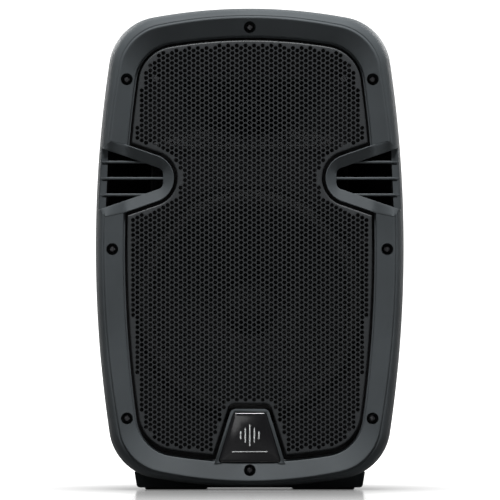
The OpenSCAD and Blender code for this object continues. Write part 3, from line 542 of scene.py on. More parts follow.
# The look of each of the record's material slots
LOOKS = {
    "shell_plastic": moulded("shell_spark_texture", (0.0235, 0.0266, 0.0286), roughness=0.6, specular=0.06),
    "black_plastic": moulded("black_moulding", (0.0045, 0.0045, 0.005), roughness=0.55, specular=0.13),
    "rubber": moulded("black_rubber", (0.006, 0.006, 0.006), roughness=0.8, grain=900, depth=0.0001,
                      specular=0.2),
    "grille_steel": powder_coat("grille_powder_coat", (0.0112, 0.0123, 0.0132), roughness=0.5, specular=0.15),
    "black_steel": powder_coat("panel_powder_coat", (0.018, 0.018, 0.019), roughness=0.45),
    "screw_steel": bare_metal("black_zinc_screw", (0.09, 0.09, 0.095), roughness=0.38, lines=False),
    "zinc_steel": bare_metal("turned_zinc_steel", (0.62, 0.62, 0.6)),
    "plated_metal": bare_metal("nickel_plate", (0.75, 0.74, 0.72), roughness=0.16),
    "heatsink_metal": bare_metal("black_anodised", (0.035, 0.035, 0.038), roughness=0.36, lines=False),
    "copper": bare_metal("enamelled_copper", (0.75, 0.36, 0.16), roughness=0.3),
    "titanium": bare_metal("pressed_titanium", (0.62, 0.62, 0.64), roughness=0.25),
    "ferrite": moulded("ground_ferrite", (0.035, 0.034, 0.036), roughness=0.6, grain=1500),
    "gloss_black": polished("piano_black", (0.004, 0.004, 0.0045)),
    "key_grey": moulded("satin_grey_key", (0.2, 0.21, 0.225), roughness=0.4),
    # Black paper, its colour darkened further as painted shade for the cone's place behind the grille
    "cone_paper": fibrous("paper_cone", (0.002, 0.002, 0.0022), (0.0065, 0.0065, 0.007), 900, 0.0002, 0.01),
    "spider_cloth": fibrous("spider_cloth", (0.28, 0.17, 0.05), (0.5, 0.33, 0.12), 1300, 0.0002),
    "wadding": fibrous("polyester_wadding", (0.012, 0.012, 0.013), (0.04, 0.04, 0.042), 260, 0.002),
    "circuit_green": circuit("green_circuit_board"),
    "part_plastic": polished("component_sleeve", (0.02, 0.02, 0.03), roughness=0.25),
    "winding": bare_metal("varnished_winding", (0.6, 0.27, 0.1), roughness=0.32),
    "light_lens": lens("green_lens", (0.03, 0.5, 0.08)),
    "wire_pvc": moulded("red_wire", (0.3, 0.01, 0.01), roughness=0.4)}
BLACK = LOOKS["black_plastic"]
SILVER = bare_metal("silver_foil", (0.78, 0.79, 0.8), roughness=0.22, lines=False)
INK = moulded("white_print", (0.62, 0.62, 0.62), roughness=0.6, depth=0.00001, mottle=0.03)


# ---- front shell
# Outer rounding: share of the way from the rim to the ridge outline, and depth behind the front
ROUNDING = [(0, 24), (0.03, 19.6), (0.11, 15), (0.2, 11.6), (0.3, 8.9), (0.42, 6.6), (0.55, 4.8), (0.66, 3.5),
            (0.76, 2.6), (0.84, 2.05), (0.89, 1.8), (0.93, 1.7), (0.965, 1.75), (1.0, 1.8)]
RIDGE_DEPTH = ROUNDING[-1][1]
# Groove and bead along the ridge, then the bezel's step and the grille's well: inset and depth
BEAD = [(0.35, 1.55), (0.7, 1.0), (1.05, 0.4), (1.45, 0.08), (1.9, 0.0), (2.5, 0.08), (3.1, 0.3)]
STEP = [(-1.4, -1.4 * BEZEL_SLOPE), (-0.7, -0.7 * BEZEL_SLOPE), (-0.25, 0.05), (0, 0.45), (0.15, 2.6),
        (0.4, 3.0), (1.7, 3.0), (2.0, 3.3), (2.3, 16.6)]
CASE_SCREWS = [(0, 466.4), (0, 20.3)] + both_sides([(123.8, 413.9), (138.4, 242.9), (123.6, 72.5)])
SCREW_SEAT_Y = BAFFLE_Y - 4
CLIP_HOLES = both_sides([(99.4, 49.6), (46.0, 33.2), (120.9, 143.4)])
POSTS = both_sides([(101, 426), (116, 252), (101, 61.5)])
BOSS_R = 7.6
SCREW_WELL_R = 6
SHANK_R = 2
POST_R = 4
CLIP_R = 0.9
WOOFER_HOLE_R = 122
HORN_HOLE = (190, 72, 12)


def side_x(p, z):
    """Half width of outline p at height z, on its long side arc."""
    return p[0] - p[2] + math.sqrt(p[2] ** 2 - (z - p[5]) ** 2)


def shell_front(x, z):
    """Depth of the front shell's outer surface at a point beside the grille."""
    bezel, ridge, rim = (side_x(p, z) for p in (BEZEL, RIDGE, RIM))
    if x < ridge - 2:
        return mix(BEZEL_Y, FRONT_Y, max(x - bezel, 0) / (ridge - 2 - bezel))
    if x < ridge:
        return FRONT_Y + RIDGE_DEPTH * smooth(x, ridge - 1.6, ridge)
    share = (rim - x) / (rim - ridge)
    for (f0, d0), (f1, d1) in zip(ROUNDING, ROUNDING[1:]):
        if share <= min(f1, 0.89):
            return FRONT_Y + mix(d0, d1, (share - f0) / (f1 - f0))
    return FRONT_Y + RIDGE_DEPTH


def make_front_shell():
    rings = stepped(RIM, SEAM_Y, [(SEAM_TAPER + 0.5, 0), (SEAM_TAPER, -0.8)])
    rings += [ring(mix(RIM, RIDGE, f), FRONT_Y + d) for f, d in ROUNDING]
    rings += stepped(RIDGE, FRONT_Y, BEAD) + stepped(BEZEL, BEZEL_Y, STEP)
    rings.append(ring(inset(BEZEL, 2.5), BAFFLE_Y))
    inner = [ring(inset(BEZEL, -2.6), BAFFLE_BACK_Y)] + stepped(BEZEL, BEZEL_Y, [(-3.5, 5), (-13, 2.5)])
    inner += stepped(RIM, FRONT_Y, [(WALL + 2, 14), (WALL, 24)]) + [ring(inset(SEAM, WALL), SEAM_Y)]
    shell = add_object("front_moulding", loft(rings[::-1] + inner[::-1]))
    bosses = [rod(x, z, BOSS_R, BEZEL_Y + 1.5, BAFFLE_Y + 0.5) for x, z in CASE_SCREWS]
    bosses += [rod(x, z, POST_R, GRILLE_Y + 1.3, BAFFLE_Y + 0.5) for x, z in POSTS]
    carve(shell, joined(*bosses), "UNION")
    holes = [rod(x, z, SCREW_WELL_R, FRONT_Y - 5, SCREW_SEAT_Y) for x, z in CASE_SCREWS]
    holes += [rod(x, z, CLIP_R, BEZEL_Y - 2, BEZEL_Y + 6, 16) for x, z in CLIP_HOLES]
    holes += [rod(0, WOOFER_Z, WOOFER_HOLE_R, BAFFLE_Y - 4, BAFFLE_BACK_Y + 5, 128),
              prism(moved(round_rect(*HORN_HOLE), 0, HORN_Z), BAFFLE_Y - 4, BAFFLE_BACK_Y + 5)]
    carve(shell, joined(*holes))
    pocket = prism([(-x, h + PORT_Z) for (x, h), _ in strip_edges()], FRONT_Y - 5, BAFFLE_Y + 0.01)
    duct = prism(moved(mouth(2.7, 146.4), 0, PORT_Z), BAFFLE_Y - 3, DUCT_BACK_Y + 1)
    for cut in (pocket, duct):
        carve(shell, joined(cut, mirrored(cut)))
    finish_piece(shell, "shell_plastic", "front_shell")
    # The grille's well behind the bezel's step, with the tips of its posts, takes the black moulding: painted
    # shade on the same shell plastic, where the deep recess lies in shadow
    well = outline(inset(BEZEL, 0.3))
    tint(shell, BLACK, lambda x, y, z: y > BEZEL_Y + 3.1 and in_polygon(x, z, well)
         or any(math.hypot(x - a, z - b) < POST_R + 0.5 for a, b in POSTS))


def make_case_screws():
    """Domed heads with a cross recess, deep in their wells, on plain shanks."""
    rise, arm, width = 1.9, 2.4, 0.45
    dome = [(0.001, 0), (3.9, 0), (3.9, 0.45), (3.627, 0.75), (2.808, 0.95), (1.56, 1.04), (0.001, 1.06)]
    cross = [(-arm, -width), (-width, -width), (-width, -arm), (width, -arm), (width, -width),
             (arm, -width)]
    cross += [(-x, -z) for x, z in cross]
    heads, recesses, shanks = [], [], []
    for x, z in CASE_SCREWS:
        heads.append(turned([(r, SCREW_SEAT_Y - h * rise) for r, h in dome], x, z, 40))
        recesses.append(prism(moved(cross, x, z), SCREW_SEAT_Y - rise - 2, SCREW_SEAT_Y - 1.06 * rise + 1))
        shanks.append(rod(x, z, SHANK_R, SCREW_SEAT_Y - 0.4, SCREW_SEAT_Y + 26, 24))
    screws = add_object("case_screw_set", joined(*heads))
    carve(screws, joined(*recesses))
    carve(screws, joined(*shanks), "UNION")
    finish_piece(screws, "screw_steel", "case_screws")


def make_gasket():
    """Seal between the two shells."""
    rings = stepped(SEAM, SEAM_Y, [(0.6, 0), (0.6, 0.8), (3.4, 0.8), (3.4, 0)])
    make_piece("seam_gasket", loft(rings, loop=True), "rubber", "shell_gasket")


# ---- ports
# The port's trim is a strip between two Vs, both worked out on the left side as (distance, height) points
PORT_ANGLE = math.radians(19)
TAN = math.tan(PORT_ANGLE)
SIN = math.sin(PORT_ANGLE)
FIN_PITCH = 16.5
TRIM_APEX = 25.5
TRIM_R = 24.5
TRIM_CENTRE = TRIM_APEX + TRIM_R / SIN
MOUTH_APEX = 60.7
MOUTH_FLAT = 87.3
MOUTH_R = 7
MOUTH_CORNER = MOUTH_FLAT + MOUTH_R
MOUTH_CORNER_H = (MOUTH_CORNER - MOUTH_APEX) * TAN - MOUTH_R / math.cos(PORT_ANGLE)
BEND_X = 127.2
BEND_TAN = math.tan(math.radians(12))
ARM_STEPS = 44
# Where the recessed band starts, above and below, then its depth there and at the arms' ends
REACH = 142.5
LOWER_REACH = 144.9
BAND_Y = -115.2
BAND_END_Y = -112.6
FIN_END_Y = -113.3
FIN_HALF_T = 1.4


def mouth_height(x):
    """Half height of the opening's V at a distance from the middle."""
    return (x - MOUTH_APEX) * TAN


def arm_end(sign):
    """Distance from the middle at which the upper (1) or lower (-1) arm runs out on the rounding."""
    return side_x(RIM, PORT_Z + sign * 30) - 2.2


def trim_line(x, sign):
    """Half height of the trim's outer edge: straight, flatter on the bezel, then falling to its end."""
    ridge = side_x(RIDGE, PORT_Z + sign * 37) - 1.8
    end = arm_end(sign)
    height = (min(x, BEND_X) - TRIM_APEX) * TAN + max(min(x, ridge) - BEND_X, 0) * BEND_TAN
    if x > ridge:
        height = mix(height, mouth_height(end) + 0.4, (x - ridge) / (end - ridge))
    return height


def trim_arm(sign):
    """Pairs of points on the outer and on the inner V, from an arm's end to the nose."""
    arm = []
    for i in range(ARM_STEPS):
        outer = mix(arm_end(sign), TRIM_CENTRE - TRIM_R * SIN, i / ARM_STEPS)
        inner = mix(arm_end(sign), MOUTH_CORNER - MOUTH_R * SIN, i / ARM_STEPS)
        arm.append(((outer, sign * trim_line(outer, sign)), (inner, sign * mouth_height(inner))))
    return arm


def strip_edges():
    """Pairs of points on the outer and on the inner V, from the upper arm's end to the lower arm's."""
    nose_outer = [(TRIM_CENTRE - u, v) for u, v in arc((0, 0), TRIM_R, 71, -71, 30, True)]
    nose_inner = [(MOUTH_CORNER - u, MOUTH_CORNER_H + v) for u, v in arc((0, 0), MOUTH_R, 71, 0, 12)]
    nose_inner += [(MOUTH_FLAT, mix(MOUTH_CORNER_H, -MOUTH_CORNER_H, i / 6)) for i in range(6)]
    nose_inner += [(MOUTH_CORNER - u, v - MOUTH_CORNER_H) for u, v in arc((0, 0), MOUTH_R, 0, -71, 12, True)]
    return trim_arm(1) + list(zip(nose_outer, nose_inner)) + trim_arm(-1)[::-1]


def mouth(t, reach):
    """The port's opening grown by t, as (x, height) points on the left side."""
    apex = MOUTH_APEX - t / SIN
    upper = moved(arc((0, 0), MOUTH_R + t, 0, 71, 8, True), -MOUTH_CORNER, MOUTH_CORNER_H)
    upper += [(-x, (x - apex) * TAN) for x in (110, 130, reach)]
    return upper + [(x, -h) for x, h in reversed(upper)]


def inner_edge_y(x):
    """Depth of the trim's inner edge; it comes forward with the bezel."""
    return mix(BEZEL_Y + 2.6, FRONT_Y + 3.4, smooth(x, 116, 145))


def strip_solid():
    """The V trim as a sweep of one cross-section from arm end to arm end."""
    sections = []
    for (ox, oh), (ix, ih) in strip_edges():
        z = PORT_Z + oh
        end = arm_end(1 if oh > 0 else -1)
        y_out = mix(GRILLE_Y - 0.6, shell_front(ox, z), smooth(ox, BEND_X - 4, BEND_X + 1))
        y_in = mix(inner_edge_y(ix), shell_front(ix, z), smooth(ix, end - 5, end))
        rows = [(0, BAFFLE_Y), (0, y_out + 0.45), (0.03, y_out + 0.1), (0.07, y_out)]
        rows += [(f, mix(y_out, y_in, (f - 0.07) / 0.88)) for f in (0.25, 0.5, 0.75, 0.93)]
        rows += [(0.975, y_in + 0.12), (1, y_in + 0.5), (1, BAFFLE_Y)]
        sections.append([(-mix(ox, ix, f), y, PORT_Z + mix(oh, ih, f)) for f, y in rows])
    return loft(sections)


def pillar_solid():
    """The recessed band between the opening and the outer rounding, sloping back towards the rounding."""
    upper, lower = arm_end(1), arm_end(-1)
    corners = [(upper, mouth_height(upper), BAND_END_Y), (lower, -mouth_height(lower), BAND_END_Y),
               (LOWER_REACH, -mouth_height(LOWER_REACH), BAND_Y), (REACH, mouth_height(REACH), BAND_Y)]
    return loft([[(-x, y, PORT_Z + h) for x, h, y in corners],
                 [(-x, BAFFLE_Y + 0.5, PORT_Z + h) for x, h, _ in corners]])


def fin_solid(height):
    """A louvre fin from inside the trim across the band, its nose falling away towards the rounding."""
    start = MOUTH_FLAT - 3 if height == 0 else MOUTH_APEX + abs(height) / TAN - 6
    end = mix(arm_end(-1), arm_end(1), 0.5 + height / 60) - 0.8
    sections = []
    for i in range(21):
        x = mix(start, end, i / 20)
        y = mix(inner_edge_y(x) + 1.2, FIN_END_Y, smooth(x, 139, end))
        half = [(BAFFLE_Y + 1, FIN_HALF_T), (y + 1.6, FIN_HALF_T), (y + 0.6, 1.15), (y + 0.12, 0.6)]
        profile = [(v, -w) for v, w in half] + [(y, 0)] + half[::-1]
        sections.append([(-x, v, PORT_Z + height + w) for v, w in profile])
    return loft(sections)


def make_port(side):
    """Port moulding: V trim, recessed band, fins and duct, built on the left and mirrored."""
    place = mirrored if side == "right" else (lambda part: part)
    port = add_object("port_trim_" + side, place(strip_solid()))
    carve(port, place(pillar_solid()), "UNION")
    inner, outer = (moved(mouth(t, reach), 0, PORT_Z) for t, reach in ((0, REACH), (2.5, 146.2)))
    rings = [(outer, BAFFLE_Y - 0.5), (outer, DUCT_BACK_Y), (inner, DUCT_BACK_Y), (inner, BAFFLE_Y - 0.5)]
    carve(port, place(loft([at_y(points, y) for points, y in rings], loop=True)), "UNION")
    x0, x1 = -LOWER_REACH - 3.6, -REACH + 1
    slot = [(x0, -2.7), (x1, -2.7), (x1, -1.2), (x0, -1.2)]
    fins = [k * FIN_PITCH for k in (-1, 0, 1)]
    carve(port, place(joined(*[prism(moved(slot, 0, PORT_Z + height), -118, -110) for height in fins])))
    for height in fins:
        carve(port, place(fin_solid(height)), "UNION")
    finish_piece(port, "shell_plastic", "port_duct_" + side, sharp=28)
    # Faces deep in the opening take the black moulding: painted shade on the duct's shell plastic, which lies
    # in shadow there
    tint(port, BLACK, lambda x, y, z: y > BAFFLE_Y - 8 and abs(z - PORT_Z) < mouth_height(abs(x)) + 0.1)


# ---- grille
HOLE_R = 2.12
HOLE_SIDES = 10
COLUMN_PITCH = 4.35
ROW_PITCH = 5.02
FIRST_HOLE_Z = 450.3
GRILLE_GAP = 3.5
SHEET_T = 1.2
GRILLE_RIM = 12
ROLL_R = 1.5


def notched(points, path):
    """Counter-clockwise polygon with the open path cut into it; the path starts and ends outside."""
    hits = []
    for i, (a, b) in enumerate(zip(points, points[1:] + points[:1])):
        for j, (c, d) in enumerate(zip(path, path[1:])):
            hit = geometry.intersect_line_line_2d(Vector(a), Vector(b), Vector(c), Vector(d))
            if hit is not None:
                hits.append((i, j, tuple(hit)))
    (i0, j0, first), (i1, j1, second) = hits[0], hits[-1]
    between = points[i0 + 1:i1 + 1]
    around = points[i1 + 1:] + points[:i0 + 1]
    inside = path[j0 + 1:j1 + 1] if j0 < j1 else path[j1 + 1:j0 + 1][::-1]
    if len(between) < len(around):
        return around + [first] + inside + [second]
    return [first] + between + [second] + inside[::-1]


def grille_outline():
    """The grille's outline with its notches for the ports and the badge."""
    points = outline(GRILLE, side=100, corner=30, top=60)
    apex = TRIM_APEX - GRILLE_GAP / SIN
    r = TRIM_R + GRILLE_GAP
    centre = apex + r / SIN
    nose = [(centre - u, v) for u, v in arc((0, 0), r, 71, -71, 28, True)]
    lower = [(x, -(x - apex) * TAN) for x in (centre - r * SIN + 3 * k for k in range(1, 30))]
    upper = [(x, -h) for x, h in reversed(lower)]
    right = moved(upper + nose + lower, 0, PORT_Z)
    for path in (right, [(-x, z) for x, z in right], trapezoid(20.3, 41.7, 87.3, 20, 8)):
        points = notched(points, path)
    return without_doubles(points)


def hole_centres(edge):
    """Centres of the triangular lattice that clear the edge."""
    keep = without_doubles(offset_loop(edge, HOLE_R + 1.7), 0.3)
    columns = int(HALF_W / COLUMN_PITCH)
    spots = []
    for c in range(-columns, columns + 1):
        top = FIRST_HOLE_Z - (ROW_PITCH / 2 if c % 2 else 0)
        spots += [(c * COLUMN_PITCH, top - k * ROW_PITCH) for k in range(-2, 90)
                  if in_polygon(c * COLUMN_PITCH, top - k * ROW_PITCH, keep)]
    return spots


def perforated(edge, spots):
    """Flat points and triangles of a sheet with a polygon hole at each spot, the edge's points first."""
    points = [Vector(p) for p in edge]
    n = len(points)
    edges = [(i, (i + 1) % n) for i in range(n)]
    for x, z in spots:
        start = len(points)
        points += [Vector(p) for p in moved(arc((0, 0), HOLE_R, 0, 360, HOLE_SIDES), x, z)]
        edges += [(start + i, start + (i + 1) % HOLE_SIDES) for i in range(HOLE_SIDES)]
    flat, _, triangles = geometry.delaunay_2d_cdt(points, edges, [], 0, 0.0001)[:3]
    # Which hole each point is on: -1 for the edge, -2 for a point that the triangulation added
    hole_of = [-1] * n + [i // HOLE_SIDES for i in range(len(points) - n)] + [-2] * (len(flat) - len(points))
    keep = []
    for triangle in triangles:
        holes = {hole_of[v] for v in triangle}
        middle = sum((flat[v] for v in triangle), Vector((0, 0))) / 3
        if len(holes) > 1 or (holes == {-1} and in_polygon(*middle, edge)):
            keep.append(tuple(triangle))
    return flat, keep


def make_grille():
    """Perforated sheet with a rolled edge and a rim that stands back from it."""
    edge = grille_outline()
    spots = hole_centres(edge)
    flat, front = perforated(offset_loop(edge, ROLL_R), spots)
    n, count = len(edge), len(flat)
    back_y = GRILLE_Y + SHEET_T
    verts = at_y(flat, GRILLE_Y) + at_y(flat, back_y)
    faces = front + [tuple(v + count for v in reversed(t)) for t in front]
    for start in range(n, n + len(spots) * HOLE_SIDES, HOLE_SIDES):
        for i in range(HOLE_SIDES):
            p, q = start + i, start + (i + 1) % HOLE_SIDES
            faces.append((p, q, q + count, p + count))
    rim = [(offset_loop(edge, ROLL_R - ROLL_R * math.sin(a)), GRILLE_Y + ROLL_R - ROLL_R * math.cos(a))
           for a in (math.pi / 8 * k for k in range(1, 5))]
    inner_edge = offset_loop(edge, SHEET_T)
    rim += [(edge, GRILLE_Y + GRILLE_RIM), (inner_edge, GRILLE_Y + GRILLE_RIM), (inner_edge, back_y + 0.6)]
    rows = [list(range(n))]
    for loop, y in rim:
        rows.append(list(range(len(verts), len(verts) + n)))
        verts += at_y(loop, y)
    rows.append([i + count for i in range(n)])
    for a, b in zip(rows, rows[1:]):
        faces += [(a[i], b[i], b[(i + 1) % n], a[(i + 1) % n]) for i in range(n)]
    make_piece("perforated_grille", (verts, faces), "grille_steel", "grille", sharp=40)


# ---- badge
BADGE_Y = BEZEL_Y - 1.5
BADGE_Z = 52
CROWN = 0.0009
BAR_Z = 55.5
LINE_Z = 39


def crown_y(x, z):
    """Depth of the badge plate's face: a shallow dome."""
    return BADGE_Y - 1.1 + CROWN * (x * x + (z - BADGE_Z) ** 2)


def make_badge():
    """Frame with flared feet, a crowned glossy plate and a generic row of level bars over a line."""
    back = BADGE_Y + 10.8
    plate_edge = filleted([(31.7, 28.2, 2.4), (16.2, 78.1, 3.4), (-16.2, 78.1, 3.4), (-31.7, 28.2, 2.4)], 10)
    surround = add_object("badge_surround", prism(filleted([
        (35.9, 26.3, 0.4), (33.7, 33, 3), (18.6, 82, 6), (-18.6, 82, 6), (-33.7, 33, 3), (-35.9, 26.3, 0.4),
        (-27, 28, 0), (27, 28, 0)]), BADGE_Y, back))
    carve(surround, prism(offset_loop(plate_edge, -0.45), BADGE_Y - 1, BADGE_Y + 2.2))
    carve(surround, prism(trapezoid(25, 33, 60, 31, 3), back - 1.5, BAFFLE_Y), "UNION")
    bevelled(surround, 0.4, segments=3, angle=50)
    finish_piece(surround, "shell_plastic", "badge_frame")

    # The plate's rounded edge, then rings that close in on its middle
    rings = [[(x, crown_y(x, z) + y, z) for x, z in offset_loop(plate_edge, t)]
             for t, y in ((0, 2.2), (0, 1.1), (0.12, 0.75), (0.4, 0.4), (0.8, 0.14), (1.3, 0))]
    last = offset_loop(plate_edge, 1.3)
    for i in range(1, 13):
        spots = [Vector(p).lerp(Vector((0, BADGE_Z)), i / 12.5) for p in last]
        rings.append([(x, crown_y(x, z), z) for x, z in spots])
    make_piece("badge_insert", loft(rings), "gloss_black", "badge_plate", sharp=60)

    mark = []
    for k, height in enumerate((8, 15, 22, 15, 8)):
        x = (k - 2) * 4.6
        face = crown_y(x, BAR_Z)
        mark.append(prism(moved(round_rect(1.15, height, 0.56, 6), x, BAR_Z), face - 0.12, face + 0.7))
    face = crown_y(0, LINE_Z)
    mark.append(prism(moved(round_rect(36, 0.9, 0.44, 6), 0, LINE_Z), face - 0.12, face + 0.9))
    make_piece("badge_mark", joined(*mark), "plated_metal", material=SILVER)


# ---- rear shell and feet
# Feet: x, y and width
FEET = [(74.5, -32, 63), (-74.5, -32, 63), (61, 80, 38), (-61, 80, 38)]
FOOT_D = 18
PLINTH_Z = 2.6
FOOT_TOP_Z = PLINTH_Z + 1.7
PLINTH_DROP = 0.7
POLE_Y = 20
POLE_R = 21.3
POLE_FLANGE_R = 33.3
HANDLE_Y = 45
HANDLE_W = 128
HANDLE_D = 92
SHOULDER_Y = REAR_Y - 10.5
TOP_TILT = math.atan2(MID_Z + HALF_H - SEAM_TAPER - REAR[5] - REAR[1], SHOULDER_Y - SEAM_Y)
HANDLE_Z = MID_Z + HALF_H - SEAM_TAPER - (HANDLE_Y - SEAM_Y) * math.tan(TOP_TILT)


def on_top(part):
    """A part drawn about the handle's centre, placed on the sloping top."""
    place = Matrix.Translation((0, HANDLE_Y, HANDLE_Z)) @ Matrix.Rotation(-TOP_TILT, 4, "X")
    return [tuple(place @ Vector(v)) for v in part[0]], part[1]


def plinth_solid():
    """Plinth under the rear shell, narrower towards the back, with rounded lower edges."""
    sections = []
    for f in (0, 0.01, 0.03, 0.25, 0.5, 0.75, 0.97, 0.99, 1):
        half = mix(116.5, 84, f)
        low = PLINTH_Z + 0.5 * max(0, 1 - min(f, 1 - f) / 0.03) ** 2 - PLINTH_DROP
        points = [(half - 8, 24), (half, 17.6), (half - 0.9, 12), (half - 2.2, low + 2),
                  (half - 3.0, low + 0.6), (half - 4.6, low)]
        points += [(-x, z) for x, z in reversed(points)]
        sections.append(at_y(points, mix(SEAM_Y + 5, REAR_Y - 24, f)))
    return loft(sections)


def make_rear_shell():
    start = SEAM_Y + 0.8

    def between(f, t=0):
        """Ring at a share of the way from the seam to the rear shoulder."""
        return ring(inset(mix(SEAM, REAR, f), t), mix(start, SHOULDER_Y, f))

    body = stepped(SEAM, start, [(0.6, 0), (0, 0.9)]) + [between(f) for f in (0.1, 0.25, 0.5, 0.75, 0.9, 1)]
    # The rear edge's rounding, then the step down to the amplifier's panel
    body += stepped(REAR, REAR_Y, [
        (0.5, -7.8), (1.7, -5), (3.0, -2.9), (4.8, -1.3), (7, -0.3), (9, 0), (13, 0), (14.3, -0.25),
        (15.3, -0.9), (16.0, -2.0), (17.2, -9), (17.6, -13.2), (18, -14.1), (18.6, -14.5)])
    shell = add_object("rear_moulding", loft(body))
    carve(shell, plinth_solid(), "UNION")
    cavity = stepped(SEAM, start, [(WALL, -1)]) + [between(f, WALL) for f in (0.25, 0.5, 0.75)]
    cavity += stepped(REAR, REAR_Y, [(WALL, -12), (WALL + 1.5, -7), (WALL + 6, -4.5), (12, -5.5),
                                     (14, -18.5)])
    carve(shell, loft(cavity))
    holes = [upright(moved(round_rect(w + 0.6, FOOT_D + 0.6, 6), x, y), -1, FOOT_TOP_Z) for x, y, w in FEET]
    holes += [prism(moved(round_rect(130, 252, 8), 0, 200), FLOOR_Y - 10, REAR_Y + 5),
              on_top(upright(round_rect(HANDLE_W, HANDLE_D, 14), -20, 20)),
              upright(circle(0, POLE_Y, POLE_R, 72), -1, 40)]
    carve(shell, joined(*holes))
    carve(shell, upright(circle(0, POLE_Y, POLE_FLANGE_R, 96), -2, PLINTH_Z + 3.5))
    column_ends = (-8, -6, -14, -24, -10, -14, -24, -10)
    columns = [rod(x, z, 6, BAFFLE_Y + 0.5, end, 32) for (x, z), end in zip(CASE_SCREWS, column_ends)]
    carve(shell, joined(*columns), "UNION")
    finish_piece(shell, "shell_plastic", "rear_shell")


def make_feet():
    """Moulded feet with a soft lower edge and two grooves across the tread."""
    rows = [(0, FOOT_TOP_Z), (0, 1.6), (0.2, 0.9), (0.7, 0.3), (1.6, 0)]
    feet, grooves = [], []
    for x, y, w in FEET:
        plans = [(round_rect(w - 2 * t, FOOT_D - 2 * t, 6 - t), z) for t, z in rows]
        feet.append(loft([at_z(moved(plan, x, y), z) for plan, z in plans]))
        grooves += [upright(moved(round_rect(w - 14, 1.6, 0.7, 4), x, y + side), -1, 0.8) for side in (-3, 3)]
    tread = add_object("rubber_foot_set", joined(*feet))
    carve(tread, joined(*grooves))
    finish_piece(tread, "rubber", "rubber_feet")


# ---- woofer and horn
WOOFER_Y = BAFFLE_BACK_Y + 1
COIL_R = 25
CONE_DEPTH = 38
SECTORS = 16
SECTOR_STEPS = 8


def flexing_ring(name, profile, slot, node):
    """A turned skin between the moving cone and the fixed frame, cut into sectors."""
    width = 2 * math.pi / SECTORS

    def at(r, y, share):
        return r * math.cos(width * share), y, WOOFER_Z + r * math.sin(width * share)

    for k in range(SECTORS):
        slices = [[at(r, y, k + i / SECTOR_STEPS) for r, y in profile] for i in range(SECTOR_STEPS + 1)]
        sector = tidy_mesh(add_object("%s_%02d" % (name, k), loft(slices)), sharp=50)
        wear(sector, LOOKS[slot])
        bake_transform(sector)
        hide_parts(node)


def make_surround():
    """Half-round roll between the cone's edge and the frame."""
    skin, roll_x, roll_r = 0.8, 107, 9
    front = WOOFER_Y - skin - 0.4
    over = arc((roll_x, front), roll_r, 180, 360, 20, True)
    under = arc((roll_x, front + skin), roll_r - skin, 360, 180, 20, True)
    profile = [(97.2, front)] + over + [(121, front), (121, front + skin)] + under + [(97.2, front + skin)]
    flexing_ring("surround_roll", profile, "rubber", "woofer_surround")


def make_spider():
    """Thin disc with round waves, flat at both ends."""
    steps, waves = 60, 5
    inner, outer = COIL_R + 0.7, 67
    line = []
    for i in range(steps + 1):
        swell = smooth(i, 2, 7) * (1 - smooth(i, 54, 58))
        wave = 1.6 * swell * math.cos(2 * math.pi * waves * i / steps)
        line.append((mix(inner, outer, i / steps), WOOFER_Y + 50.4 - wave))
    profile = line + [(r, y + 0.6) for r, y in reversed(line)]
    flexing_ring("spider_wave", profile, "spider_cloth", "woofer_spider")


def make_cone():
    """Curved cone with pressed ribs, from the surround to the coil, and its domed dust cap."""
    line = []
    for i in range(41):
        r = mix(95.5, COIL_R + 0.5, i / 40)
        rib = 0.35 * sum(math.exp(-((r - c) / 1.3) ** 2) for c in (82, 70, 58, 46))
        line.append((r, WOOFER_Y + CONE_DEPTH * (i / 40) ** 1.16 - rib))
    back = [(r + 0.5, y + 1.05) for r, y in reversed(line[1:])]
    profile = [(99.5, WOOFER_Y)] + line + [(COIL_R + s, WOOFER_Y + CONE_DEPTH + 3) for s in (0.5, 1.2)] + back
    profile += [(96, WOOFER_Y + 1), (99.5, WOOFER_Y + 1)]
    make_piece("paper_cone_ribbed", turned(profile, z=WOOFER_Z, n=128), "cone_paper", "woofer_cone",
               body="woofer_motion", sharp=50)

    sphere_r, cap_r = 46, 28.5
    foot = math.sqrt(sphere_r ** 2 - cap_r ** 2)
    radii = [max(cap_r * i / 24, 0.001) for i in range(25)]
    top = [(r, WOOFER_Y + 35.1 + foot - math.sqrt(sphere_r ** 2 - r * r)) for r in radii]
    under = [(max(r - 0.6 * r / cap_r, 0.001), y + 0.8) for r, y in reversed(top)]
    make_piece("dust_cap_dome", turned(top + under, z=WOOFER_Z), "cone_paper", "woofer_dust_cap",
               body="woofer_motion", sharp=50)


def superellipse(a, b, e, n=96):
    points = []
    for i in range(n):
        c, d = math.cos(2 * math.pi * i / n), math.sin(2 * math.pi * i / n)
        points.append((math.copysign(abs(c) ** (2 / e), c) * a, math.copysign(abs(d) ** (2 / e), d) * b))
    return points


